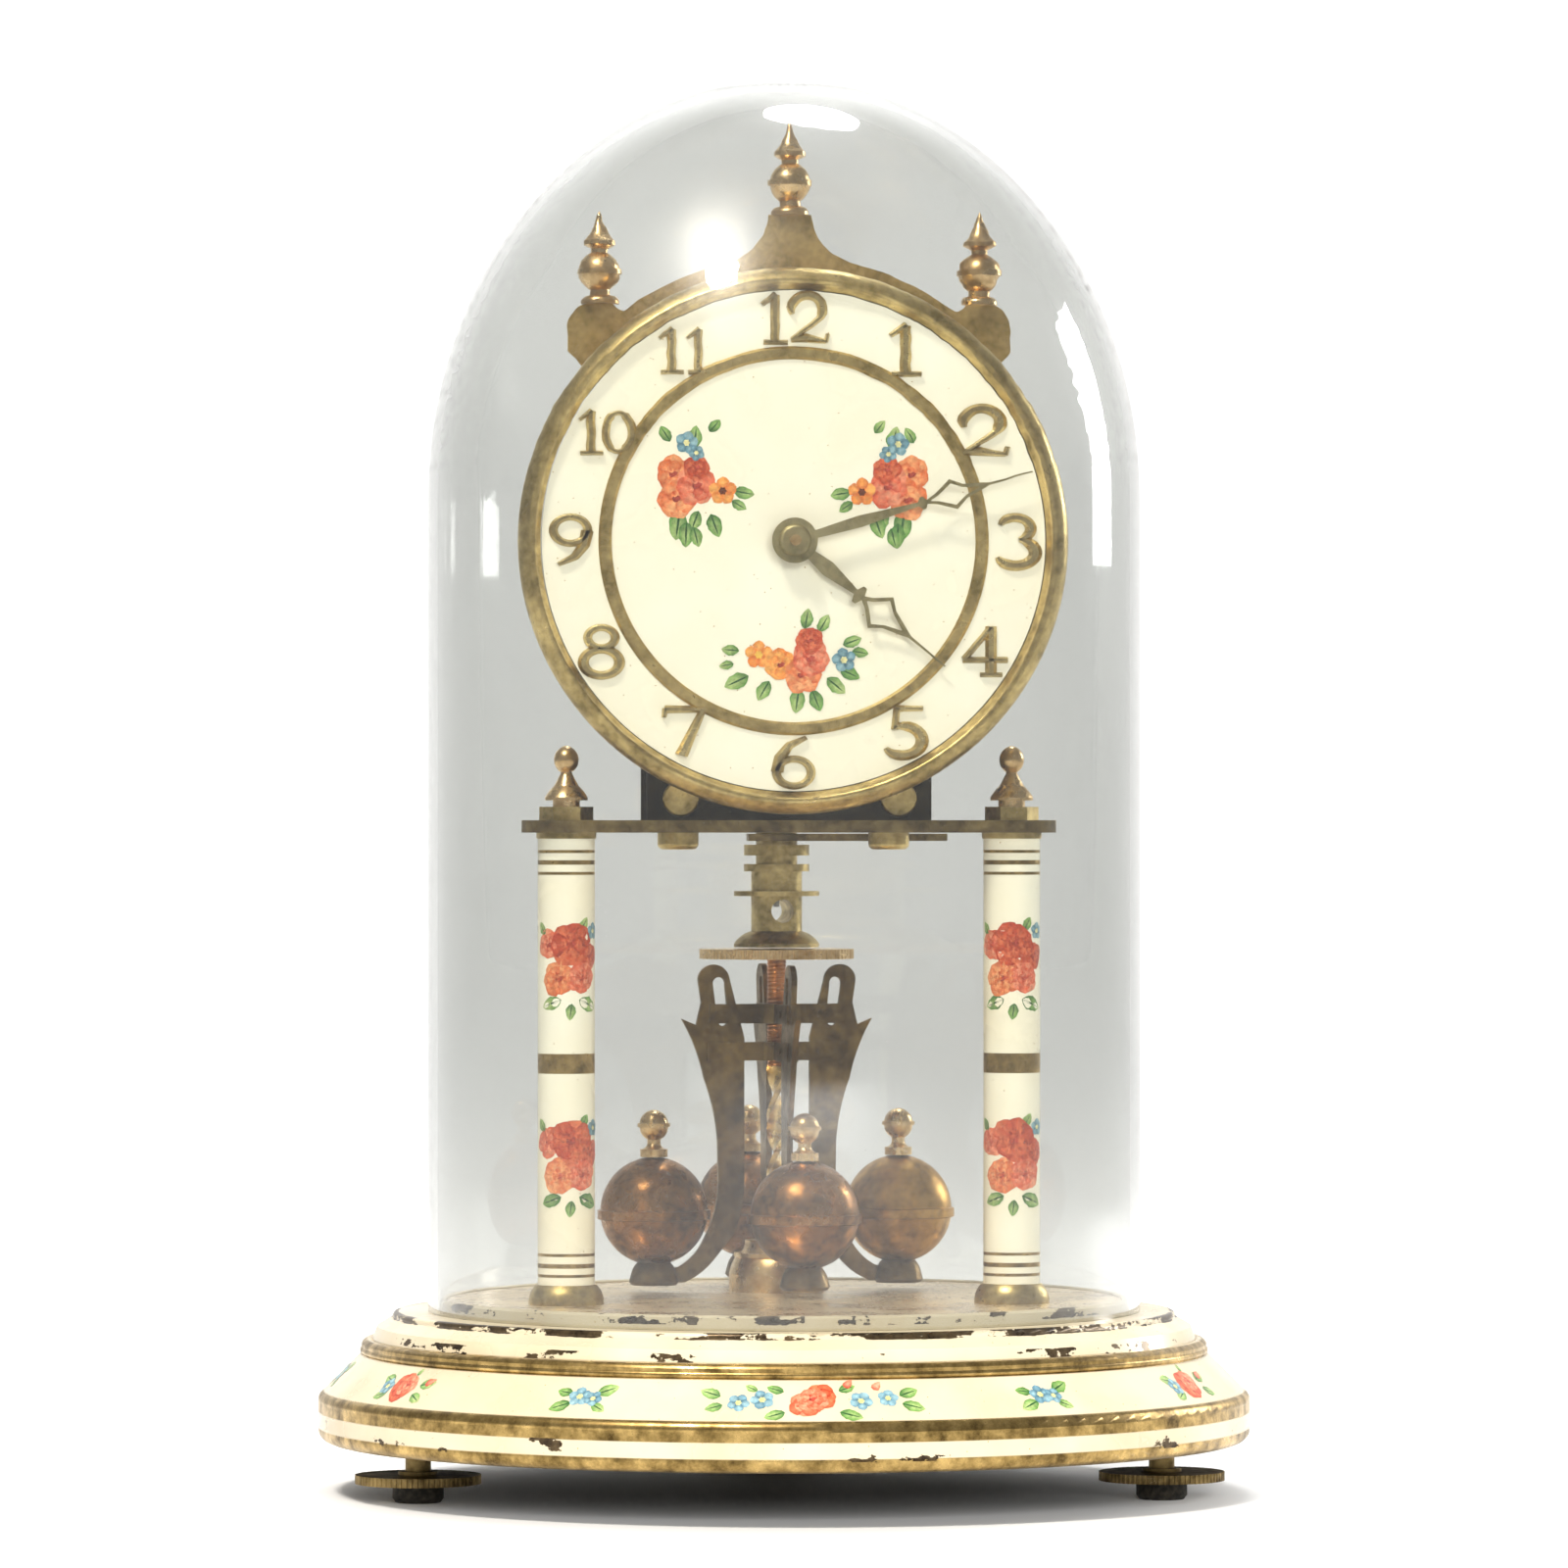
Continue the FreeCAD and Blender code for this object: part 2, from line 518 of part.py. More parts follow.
def make_train():
    """Going train from the mainspring barrel to the escapement; every axis runs front to back."""
    front = -size_of("front_y - plate_thick")
    back = -size_of("back_y + plate_thick")
    fit = size_of("fit")
    arbor = size_of("arbor")
    great, first_pinion, train_module = 96, 12, 0.42
    wheel, pinion = 64, 8
    centre_wheel, third_pinion, centre_module = 48, 12, 0.38
    third_wheel, escape_pinion, third_module = 45, 15, 0.34
    centre = (0, size_of("centre_z"))
    barrel = (size_of("barrel_x"), size_of("barrel_z"))
    reach = train_module * (great + first_pinion) / 2
    rise = size_of("stage_z") + 6.9
    first = (barrel[0] + math.sqrt(reach ** 2 - rise ** 2), barrel[1] + rise)
    stage = train_module * (wheel + pinion) / 2
    second = meeting_point(first, stage, centre, stage, -1)
    escape = (0, centre[1] + size_of("motion_z"))
    third = meeting_point(centre, centre_module * (centre_wheel + third_pinion) / 2,
                          escape, third_module * (third_wheel + escape_pinion) / 2, 1)

    great_phase = 0
    first_phase = mesh_phase(great_phase, great, first_pinion, towards(barrel, first))
    second_phase = mesh_phase(0, wheel, pinion, towards(first, second))
    centre_phase = mesh_phase(0, wheel, pinion, towards(second, centre))
    third_phase = mesh_phase(0, centre_wheel, third_pinion, towards(centre, third))
    escape_phase = mesh_phase(0, third_wheel, escape_pinion, towards(third, escape))

    def stacked(name, at, shapes):
        """Shapes at heights measured forward from Y = 0, fused on one axis."""
        solid = shapes[0].fuse(shapes[1:]).removeSplitter()
        keep(feature(name, solid, (f"{at[0]:.4f}", "0", f"{at[1]:.4f}"), FORWARD), name)

    def toothed(teeth, module, low, high, bore, phase, **extra):
        shape = wheel_shape(teeth, module, high - low, bore, phase, **extra)
        shape.translate(V(0, 0, low))
        return shape

    drum = Part.makeCylinder(18.6, 19.4, V(0, 0, -11)).cut(Part.makeCylinder(17.6, 17.4, V(0, 0, -10)))
    drum = drum.cut(Part.makeCylinder(2.5 + fit, 40, V(0, 0, -20)))
    drum_wheel = toothed(great, train_module, 8.4, 10.2, 2.5 + fit, great_phase)
    stacked("spring_barrel", barrel, [drum, drum_wheel])
    make_mainspring(barrel)
    make_winding(barrel)
    stacked("intermediate_wheel", first, [
        arbor_shape(1.0, back, front), toothed(first_pinion, train_module, 8, 11, 0.5, first_phase),
        toothed(wheel, train_module, 12.4, 13.6, 0.5, 0, crossings=5)])
    stacked("second_wheel", second, [
        arbor_shape(1.0, back, front), toothed(pinion, train_module, 11.8, 14.2, 0.5, second_phase),
        toothed(wheel, train_module, 4.8, 6.0, 0.5, 0, crossings=5)])
    stacked("centre_arbor", centre, [
        arbor_shape(arbor, back, 41.6), toothed(pinion, train_module, 4.2, 6.6, 0.5, centre_phase),
        toothed(centre_wheel, centre_module, -1.2, 0, 0.5, 0, crossings=4)])
    stacked("third_wheel", third, [
        arbor_shape(0.9, back, front), toothed(third_pinion, centre_module, -1.8, 0.6, 0.5, third_phase),
        toothed(third_wheel, third_module, -6.2, -5, 0.5, 0, crossings=4)])
    stacked("escape_wheel", escape, [
        arbor_shape(0.9, back, front), toothed(escape_pinion, third_module, -6.8, -4.4, 0.5, escape_phase),
        toothed(20, 0.64, -10.6, -9.4, 0.5, 0, pointed=True)])
    make_anchor()
    make_motion_work(centre)
    return [(first[0], first[1], "1"), (second[0], second[1], "1"), (centre[0], centre[1], "arbor"),
            (third[0], third[1], "0.9"), (escape[0], escape[1], "0.9"),
            (0, size_of("anchor_z"), "0.9"), (barrel[0], barrel[1], "2.5")]


def make_mainspring(barrel):
    """Flat spiral: half circles about two centres in turn."""
    half_gap = 0.26
    strip = 0.36
    turns = 11
    inner, outer = [], []
    radius = 5.2
    side = 1
    for _ in range(2 * turns):
        middle = -side * half_gap
        for edge, offset in ((inner, 0), (outer, strip)):
            reach = radius + offset
            edge.append(Part.Arc(V(middle + side * reach, 0, 0), V(middle, side * reach, 0),
                                 V(middle - side * reach, 0, 0)).toShape())
        radius += 2 * half_gap
        side = -side
    start = Part.makeLine(V(5.2 - half_gap, 0, 0), V(5.2 + strip - half_gap, 0, 0))
    stop = Part.makeLine(V(radius - half_gap, 0, 0), V(radius + strip - half_gap, 0, 0))
    wire = Part.Wire(Part.sortEdges(inner + [stop] + outer + [start])[0])
    solid = Part.Face(wire).extrude(V(0, 0, 15))
    solid.translate(V(0, 0, -8.8))
    keep(feature("mainspring", solid, (f"{barrel[0]}", "0", f"{barrel[1]}"), FORWARD), "mainspring")


def make_winding(barrel):
    """Winding arbor with a square at the back, its ratchet wheel, and the click that holds it."""
    rear = -size_of("back_y + plate_thick")
    arbor = arbor_shape(2.5, rear - 2.2, -size_of("front_y - plate_thick"))
    core = arbor_shape(4.2, -8.6, 6.0)
    square = Part.makeBox(3.4, 3.4, 5.4, V(-1.7, -1.7, rear - 7.6))
    ratchet = wheel_shape(24, 0.62, 1.6, 0.5, 0, pointed=True)
    ratchet.translate(V(0, 0, rear - 2.2))
    solid = arbor.fuse([core, square, ratchet]).removeSplitter()
    at = (f"{barrel[0]}", "0", f"{barrel[1]}")
    keep(feature("winding_arbor", solid, at, FORWARD), "winding_arbor")
    pawl = [("12", "7.6"), ("13.6", "6"), ("12.4", "3.6"), ("8.2", "-0.6"), ("8.9", "2.4"),
            ("10.2", "5.6")]
    click = slab("click", pawl, "1.2", ("barrel_x", "back_y + plate_thick + 1.9", "barrel_z"), (),
                 "XZ_Plane")
    stud = lathe("click_stud", disc("1.1", "0", "1.7"),
                 ("barrel_x + 12", "back_y + plate_thick + 2", "barrel_z + 5.4"), FORWARD)
    welded("click", [click, stud])


def make_anchor():
    """Anchor with two pallets, its arbor, and the pin that reaches up into the fork."""
    outline = [("0", "213.7"), ("3.9", "212.4"), ("6.1", "209.3"), ("7.6", "209.8"), ("5.6", "214.4"),
               ("0", "217.3"), ("-5.6", "214.4"), ("-7.6", "209.8"), ("-6.1", "209.3"), ("-3.9", "212.4")]
    arch = slab("anchor_arch", outline, "2", ("0", "11", "0"), (), "XZ_Plane")
    rear = "21.2"
    arbor = lathe("anchor_arbor", disc("0.9", "0", f"{rear} - front_y + plate_thick"),
                  ("0", rear, "anchor_z"), FORWARD)
    pin = lathe("anchor_pin", disc("0.55", "anchor_z", "227.4"), ("0", "20.2", "0"))
    welded("anchor", [arch, arbor, pin])


def make_motion_work(centre):
    """Cannon pinion, minute wheel and hour wheel in front of the front plate."""
    teeth = {name: pair[0] for name, pair in MOTION_WORK.items()}
    module = {name: pair[1] for name, pair in MOTION_WORK.items()}
    below = -math.pi / 2
    fit = size_of("fit")
    cannon = wheel_shape(teeth["cannon"], module["cannon"], 1.6, size_of("arbor"), 0)
    cannon.translate(V(0, 0, 20.2))
    pipe = Part.makeCylinder(2, 17.4, V(0, 0, 20.2)).cut(Part.makeCylinder(size_of("arbor"), 60))
    at = ("0", "0", "centre_z")
    keep(feature("cannon_pinion", cannon.fuse(pipe).removeSplitter(), at, FORWARD), "cannon_pinion")

    minute_phase = mesh_phase(0, teeth["cannon"], teeth["minute"], below)
    wheel = wheel_shape(teeth["minute"], module["minute"], 1.2, 1 + fit, minute_phase)
    wheel.translate(V(0, 0, 20.4))
    pinion = wheel_shape(teeth["minute_pinion"], module["minute_pinion"], 3.2, 1 + fit, 0)
    pinion.translate(V(0, 0, 21.6))
    low = ("0", "0", "centre_z - motion_z")
    keep(feature("minute_wheel", wheel.fuse(pinion).removeSplitter(), low, FORWARD), "minute_wheel")
    hour_phase = mesh_phase(0, teeth["minute_pinion"], teeth["hour"], math.pi / 2)
    hour = wheel_shape(teeth["hour"], module["hour"], 1.2, 2 + fit, hour_phase)
    hour.translate(V(0, 0, 23))
    pipe = Part.makeCylinder(3, 13.2, V(0, 0, 23)).cut(Part.makeCylinder(2 + fit, 60))
    keep(feature("hour_wheel", hour.fuse(pipe).removeSplitter(), at, FORWARD), "hour_wheel")


# ---- dial, bezel, crown and hands --------------------------------------------------------------
def make_dial():
    face_at = ("0", "0", "centre_z")
    pan = lathe("dial_pan", [
        ("3.4", "-dial_y - sheet_thick"), ("pan_radius - sheet_thick", "-dial_y - sheet_thick"),
        ("pan_radius - sheet_thick", "-dial_y - pan_depth"), ("pan_radius", "-dial_y - pan_depth"),
        ("pan_radius", "-dial_y"), ("3.4", "-dial_y")], face_at, FORWARD)
    feet = [lathe("dial_foot", disc("1.5", "plate_thick - front_y", "-dial_y - sheet_thick"),
                  (f"{side}25", "0", "centre_z"), FORWARD) for side in ("", "-")]
    welded("dial", [pan] + feet)
    bezel = lathe("bezel", [
        ("bezel_bore", "26.8"), ("bezel_radius - 0.5", "26.8"), ("bezel_radius", "31.5", "12"),
        ("bezel_radius - 1.9", "36.4", "4.6"), ("bezel_radius - 3.2", "36.4", "1"),
        ("bezel_radius - 3.5", "35.6"), ("bezel_bore", "34.3")], face_at, FORWARD)
    keep(bezel, "bezel")
    ring = lathe("chapter_ring", [
        ("ring_inner", "-dial_y"), ("ring_outer", "-dial_y"), ("ring_outer", "-dial_y + 0.3"),
        ("ring_outer - 0.5", "-dial_y + 0.8"), ("ring_inner + 0.5", "-dial_y + 0.8"),
        ("ring_inner", "-dial_y + 0.3")], face_at, FORWARD)
    keep(ring, "chapter_ring")
    make_numerals()
    make_crown()


# Each digit's width and strokes in a box 1 high: bars (x, z, x, z), arcs (x, z, radius, from, to)
DIGITS = {
    "0": (0.62, [("bar", 0.1, 0.3, 0.1, 0.7), ("bar", 0.52, 0.3, 0.52, 0.7),
                 ("arc", 0.31, 0.29, 0.21, 180, 360), ("arc", 0.31, 0.71, 0.21, 0, 180)]),
    "1": (0.5, [("bar", 0.26, 0.08, 0.26, 0.94), ("bar", 0.02, 0.08, 0.5, 0.08),
                ("bar", 0.05, 0.74, 0.24, 0.9)]),
    "2": (0.66, [("arc", 0.32, 0.7, 0.22, 320, 540), ("bar", 0.49, 0.56, 0.1, 0.1),
                 ("bar", 0.05, 0.08, 0.62, 0.08)]),
    "3": (0.6, [("arc", 0.28, 0.71, 0.2, 270, 520), ("arc", 0.28, 0.29, 0.22, 200, 450)]),
    "4": (0.66, [("bar", 0.44, 0.08, 0.44, 0.94), ("bar", 0.42, 0.9, 0.06, 0.34),
                 ("bar", 0.03, 0.34, 0.64, 0.34), ("bar", 0.3, 0.08, 0.58, 0.08)]),
    "5": (0.6, [("bar", 0.14, 0.92, 0.54, 0.92), ("bar", 0.14, 0.94, 0.12, 0.52),
                ("arc", 0.29, 0.31, 0.23, 200, 500)]),
    "6": (0.62, [("arc", 0.31, 0.29, 0.22, 0, 359), ("bar", 0.1, 0.34, 0.4, 0.94)]),
    "7": (0.62, [("bar", 0.05, 0.9, 0.58, 0.9), ("bar", 0.56, 0.9, 0.24, 0.04)]),
    "8": (0.6, [("arc", 0.3, 0.72, 0.19, 0, 359), ("arc", 0.3, 0.28, 0.22, 0, 359)]),
    "9": (0.62, [("arc", 0.31, 0.7, 0.22, 0, 359), ("bar", 0.52, 0.66, 0.22, 0.06)]),
}


def stroke_shape(stroke, scale, thick):
    """One stroke of a digit as a bar or a piece of ring."""
    half = 0.075 * scale
    if stroke[0] == "bar":
        start = V(stroke[1] * scale, stroke[2] * scale, 0)
        stop = V(stroke[3] * scale, stroke[4] * scale, 0)
        along = stop - start
        bar = Part.makeBox(along.Length, 2 * half, thick, V(0, -half, 0))
        bar.rotate(V(0, 0, 0), V(0, 0, 1), math.degrees(math.atan2(along.y, along.x)))
        bar.translate(start)
        return bar
    middle = V(stroke[1] * scale, stroke[2] * scale, 0)
    reach = stroke[3] * scale
    sweep = stroke[5] - stroke[4]
    ring = Part.makeCylinder(reach + half, thick, V(0, 0, 0), V(0, 0, 1), sweep)
    ring = ring.cut(Part.makeCylinder(reach - half, thick))
    ring.rotate(V(0, 0, 0), V(0, 0, 1), stroke[4])
    ring.translate(middle)
    return ring


def make_numerals():
    """Twelve upright hour numerals on one circle."""
    thick = size_of("numeral_thick")
    circle = size_of("numeral_circle")
    figures = []
    for hour in range(1, 13):
        height = size_of("numeral_height" if hour < 10 else "pair_height")
        strokes = []
        cursor = 0
        for digit in str(hour):
            width, marks = DIGITS[digit]
            for mark in marks:
                shape = stroke_shape(mark, height, thick)
                shape.translate(V(cursor, 0, 0))
                strokes.append(shape)
            cursor += (width + 0.04) * height
        figure = strokes[0].fuse(strokes[1:]).removeSplitter()
        angle = math.radians(90 - 30 * hour)
        figure.translate(V(circle * math.cos(angle) - cursor / 2,
                           circle * math.sin(angle) - height / 2, 0))
        figures.append(figure)
    group = feature("numerals", Part.makeCompound(figures), ("0", "dial_y", "centre_z"), FORWARD)
    keep(group, "numerals")


def make_crown():
    """Arched plate behind the bezel with a centre peak, two ears and three turned finials."""
    low = "212"
    outline = [("-26", low), ("26", low), ("44.6", "231.5"), ("44.6", "236"), ("41", "ear_top", "5"),
               ("35.6", "ear_top"), ("33.4", "239.6", "-3"), ("13", "249.2", "crown_radius"),
               ("4.35", "crown_top", "-11"), ("-4.35", "crown_top"), ("-13", "249.2", "-11"),
               ("-33.4", "239.6", "crown_radius"), ("-35.6", "ear_top", "-3"), ("-41", "ear_top"),
               ("-44.6", "236", "5"), ("-44.6", "231.5")]
    holes = [("post_x", "post_high", "1.5"), ("-post_x", "post_high", "1.5")]
    crown = slab("crown_plate", outline, "crown_thick", ("0", "crown_y", "0"), holes, "XZ_Plane")
    keep(crown, "crown_plate")
    places = [("-ear_x", "ear_top"), ("0", "crown_top"), ("ear_x", "ear_top")]
    turned = []
    for across, level in places:
        turned.append(lathe("crown_finial", [
            ("0", "0"), ("3.75", "0"), ("3.75", "0.7"), ("2.05", "1.6", "1.4"), ("2.05", "2.8"),
            ("4.1", "5.9", "4.2"), ("4.45", "5.9"), ("4.45", "6.9"), ("4.1", "6.9"),
            ("1.65", "10.2", "4.2"), ("1.65", "11"), ("3.2", "11.8"), ("3.2", "12.6"),
            ("1.5", "15", "-5"), ("0.5", "17.6", "-7"), ("0", "18.7")],
            (across, "crown_y - crown_thick / 2", level)))
    joined("crown_finials", turned)


def make_hands():
    """Pierced hands: a leaf, a crossbar, an open diamond and a thin tip."""
    make_hand("hour_hand", 35.9, -size_of("hour_angle"), 3.25, 3.0, 4.2, [
        (1.0, 4), (1.6, 8.8), (0.55, 15.9), (1.9, 16.5), (1.9, 17.3), (0.5, 17.9), (1.3, 19.4),
        (4.0, 22.4), (2.2, 24.6), (0.95, 28.2), (0.28, 30), (0.16, 39.2)],
        [(0.1, 18.9), (0.85, 20.1), (3.0, 22.4), (1.45, 24.6), (0.1, 27.9)])
    make_hand("minute_hand", 37.8, -size_of("minute_angle"), 4.55, 1.12, 4.4, [
        (0.8, 4), (1.2, 13.5), (0.4, 25.6), (1.3, 26.3), (1.3, 26.9), (0.4, 27.4), (1.1, 29.4),
        (3.1, 32.9), (1.5, 35.3), (0.7, 38.7), (0.25, 40.4), (0.15, 49.2)],
        [(0.1, 28.3), (0.6, 29.9), (2.2, 32.9), (0.8, 35.3), (0.1, 38.2)])


def make_hand(name, level, turn, boss, bore, hub, edge, window):
    """A hand cut from thin sheet: edge and window are half outlines (half width, distance)."""
    def both_sides(half):
        return [V(width, along, 0) for width, along in half] + \
               [V(-width, along, 0) for width, along in reversed(half)]
    blade_corners = both_sides(edge)
    opening = both_sides(window)
    blade = Part.Face(Part.makePolygon(blade_corners + blade_corners[:1])).extrude(V(0, 0, 0.5))
    blade = blade.cut(Part.Face(Part.makePolygon(opening + opening[:1])).extrude(V(0, 0, 0.5)))
    eye = Part.makeCylinder(max(boss, hub), 0.5)
    solid = blade.fuse(eye)
    if name == "minute_hand":
        cap = Part.makeCylinder(3.25, 1.2, V(0, 0, 0.5))
        solid = solid.fuse(cap)
        rim = [edge_item for edge_item in solid.Edges
               if abs(edge_item.BoundBox.ZMin - 1.7) < 0.01 and edge_item.Length > 15]
        solid = solid.makeFillet(0.9, rim)
    solid = solid.cut(Part.makeCylinder(bore, 8, V(0, 0, -2))).removeSplitter()
    solid.rotate(V(0, 0, 0), V(0, 0, 1), turn)
    solid.translate(V(0, 0, level))
    keep(feature(name, solid, ("0", "0", "centre_z"), FORWARD), name)


# ---- pendulum ----------------------------------------------------------------------------------
def make_pendulum():
    axis = ("0", "axis_y", "0")
    head = lathe("pendulum_head", [
        ("head_bore", "118"), ("head_bore", "135.8"), ("5.8", "135.8"), ("5.8", "134.8"), ("4.3", "134.8"),
        ("4.3", "131.9"), ("6.8", "131.9"), ("6.8", "129.7"), ("4.3", "129.7"), ("4.3", "127.9"),
        ("6.8", "127.9"), ("6.8", "126.4"), ("5.3", "126.4"), ("5.3", "122.3"), ("8.9", "122.3"),
        ("8.9", "121.3"), ("5.3", "121.3"), ("5.3", "114"), ("8.9", "111.4", "-6"), ("8.9", "110.7"),
        ("0", "110.7"), ("0", "118")], axis, SPUN)
    cross = lathe("head_cross_hole", disc("2.4", "-10", "10"), ("0", "axis_y", "118.2"),
                  FreeCAD.Rotation(V(0, 0, 1), 12).multiply(FORWARD))
    cut_from("pendulum_head", head, [cross])

    blank = lathe("disc_blank", [
        ("spindle_radius + fit", "disc_level"), ("disc_radius", "disc_level"),
        ("disc_radius", "disc_level + disc_thick"),
        ("spindle_radius + fit", "disc_level + disc_thick")], axis)
    count = 80
    grooves = []
    for step in range(count):
        groove = Part.makeCylinder(0.36, 4, V(size_of("disc_radius") + 0.1, 0,
                                              size_of("disc_level") - 1))
        groove.rotate(V(0, 0, 0), V(0, 0, 1), 360 * step / count)
        grooves.append(groove)
    knurl = feature("disc_knurl", Part.makeCompound(grooves), axis)
    cut_from("regulator_disc", blank, [knurl])

    make_spindle(axis)
    straps = []
    for step in range(4):
        turn = FreeCAD.Rotation(V(0, 0, 1), size_of("swing_rest") + 90 * step)
        make_arm(step + 1, turn, axis)
        straps += make_straps(turn, axis)
    joined("arm_straps", straps)
    make_balls()


def make_spindle(axis):
    """Threaded upper rod, then a flat ribbon twisted about its length, then the guide pin."""
    rod = lathe("spindle_rod", tower([("spindle_radius", "110.4")], "86"), axis)
    low, high, wide, flat, turns = 50.0, 86.5, 3.9, 1.3, 1.5
    slices = 24
    sections = []
    for index in range(slices + 1):
        share = index / slices
        angle = math.radians(360 * turns * share)
        level = low + (high - low) * share
        ring = []
        for across, along in ((-1, -1), (1, -1), (1, 1), (-1, 1)):
            x, y = across * wide / 2, along * flat / 2
            ring.append(V(x * math.cos(angle) - y * math.sin(angle),
                          x * math.sin(angle) + y * math.cos(angle), level))
        sections.append(Part.makePolygon(ring + ring[:1]))
    ribbon = feature("spindle_ribbon", Part.makeLoft(sections, True, True), axis)
    pin = lathe("spindle_pin", tower([("0.9", "51")], "44.5"), axis)
    welded("pendulum_spindle", [rod, ribbon, pin])


def make_arm(number, turn, axis):
    """Tulip-shaped arm: a loop at the top, a horn, a slim waist and a pad under the ball."""
    outline = [("7", "61"), ("9.1", "51.4", "30"), ("13.3", "46.2"), ("19.7", "41.4", "16"),
               ("ball_circle + 3", "40.9"), ("ball_circle + 3", "43.2"), ("21", "44.6"),
               ("15.5", "50.4", "-12"), ("12.5", "60.2", "-26"), ("12.6", "70"),
               ("15.5", "83.5", "-44"), ("20.3", "95.9", "-40"), ("17.2", "94.6"), ("16.1", "99.2"),
               ("16.8", "104"), ("13.6", "107.1", "3.3"), ("10.1", "104", "3.4"), ("7.8", "95.1"),
               ("7", "92")]
    plate = slab(f"arm_{number}", outline, "arm_thick", ("0", "arm_thick / 2", "0"),
                 [("12.4", "103.2", "1.3"), ("11.6", "95.4", "1.0")], "XZ_Plane")
    opening = [("10.4", "95.8"), ("12.7", "95.2"), ("13.7", "103"), ("11.2", "103.4")]
    slot = slab(f"arm_slot_{number}", opening, "4", ("0", "2", "0"), (), "XZ_Plane")
    pad = lathe(f"arm_pad_{number}", [("0", "40.9"), ("pad_radius - 0.6", "40.9"), ("pad_radius", "41.6"),
                                      ("pad_radius - 0.5", "43.4"), ("3.4", "45.6", "4"), ("0", "45.6")],
                ("ball_circle", "0", "0"))
    cut = doc.addObject("Part::Cut", f"arm_cut_{number}")
    cut.Base = plate
    cut.Tool = slot
    fuse = doc.addObject("Part::MultiFuse", f"pendulum_arm_{number}_solid")
    fuse.Shapes = [cut, pad]
    place(fuse, axis, turn)
    keep(fuse, f"pendulum_arm_{number}")


def make_straps(turn, axis):
    """Two levels of bent strap between an arm and its neighbour, riveted through the arm."""
    straps = []
    near, far, bend = "arm_thick / 2", "arm_thick / 2 + 0.6", "2.7"
    for low, high, reach in (("94.9", "98.9", "14.4"), ("87.2", "91", "15")):
        outline = [(near, reach), (near, bend), (bend, near), (reach, near), (reach, far),
                   (bend + " + 0.3", far), (far, bend + " + 0.3"), (far, reach)]
        strap = slab("strap", outline, f"{high} - {low}", ("0", "0", low))
        rivet = lathe("strap_rivet", disc("0.8", "-arm_thick / 2 - 1", "arm_thick / 2 + 1"),
                      ("9.2", "0", f"({low} + {high}) / 2"), FORWARD)
        both = doc.addObject("Part::MultiFuse", "strap_with_rivet")
        both.Shapes = [strap, rivet]
        place(both, axis, turn)
        straps.append(both)
    return straps


def make_balls():
    """Four turned balls with a belt, and the small finial screwed into each."""
    finials = []
    for step in range(4):
        angle = math.radians(size_of("swing_rest") + 90 * step)
        at = (f"ball_circle * {math.cos(angle):.6f}", f"axis_y + ball_circle * {math.sin(angle):.6f}",
              "ball_level")
        ball = lathe(f"ball_{step + 1}", [
            ("0", "-ball_radius + 0.6"), ("3.4", "-ball_radius + 0.6"),
            ("11.05", "-1.8", "ball_radius"), ("belt_radius", "-1.6"), ("belt_radius", "0.2"),
            ("11.15", "0.4"), ("tip_flat", "ball_radius", "ball_radius"), ("0", "ball_radius")], at)
        keep(ball, f"pendulum_ball_{step + 1}")
        finials.append(lathe("ball_finial", [
            ("0", "ball_radius"), ("2.85", "ball_radius"), ("2.85", "ball_radius + 1.6"),
            ("1.4", "ball_radius + 2.6", "-1.6"), ("1.4", "ball_radius + 3.6"),
            ("3.0", "17.4", "3"), ("3.4", "17.4"), ("3.4", "18.2"), ("3.0", "18.2"),
            ("tip_flat", "20.9", "3.1"), ("0", "20.9")], at))
    joined("ball_finials", finials)


def make_lock_lever():
    """Transport lock: a strip that turns under the platform and hooks round the pendulum's neck."""
    strip = slab("lock_lever", [("-6.1", "20.6"), ("30", "22"), ("35.5", "24.6"), ("35.5", "29.4"),
                                ("30", "31.4"), ("9.5", "32.4"), ("4.9", "axis_y - 0.7"),
                                ("-4.9", "axis_y - 0.7", "-4.95"),
                                ("-6.1", "30.5")], "1.5", ("0", "0", "pillar_top - 1.8"),
                 [("24", "axis_y", "1.55")])
    keep(strip, "lock_lever")


def make_dome():
    """Blown glass bell: straight sides and an elliptical crown, one wall thick."""
    foot = size_of("seat_top")
    shoulder = size_of("dome_shoulder")
    outer = size_of("dome_radius")
    wall = size_of("dome_wall")
    top = size_of("dome_top")

    edges = []
    for radius, crown in ((outer, top - shoulder), (outer - wall, top - shoulder - wall)):
        points = []
        for index in range(17):
            angle = math.pi / 2 * index / 16
            points.append(V(radius * math.cos(angle), 0, shoulder + crown * math.sin(angle)))
        curve = Part.BSplineCurve()
        curve.interpolate(Points=points, InitialTangent=V(0, 0, 1), FinalTangent=V(-1, 0, 0))
        edges.append(curve.toShape())
    outer_arc, inner_arc = edges
    inner = outer - wall
    profile = Part.Wire(Part.sortEdges([
        outer_arc, inner_arc,
        Part.makeLine(V(0, 0, top), V(0, 0, top - wall)),
        Part.makeLine(V(inner, 0, shoulder), V(inner, 0, foot)),
        Part.makeLine(V(inner, 0, foot), V(outer, 0, foot)),
        Part.makeLine(V(outer, 0, foot), V(outer, 0, shoulder))])[0])
    solid = Part.Face(profile).revolve(V(0, 0, 0), V(0, 0, 1), 360)
    keep(feature("glass_dome", solid), "glass_dome")


# ---- build, test and write ---------------------------------------------------------------------
make_base()
make_platform(make_pillars())
make_frame(make_train())
make_suspension()
make_dial()
make_hands()
make_pendulum()
make_lock_lever()
make_dome()
doc.recompute()

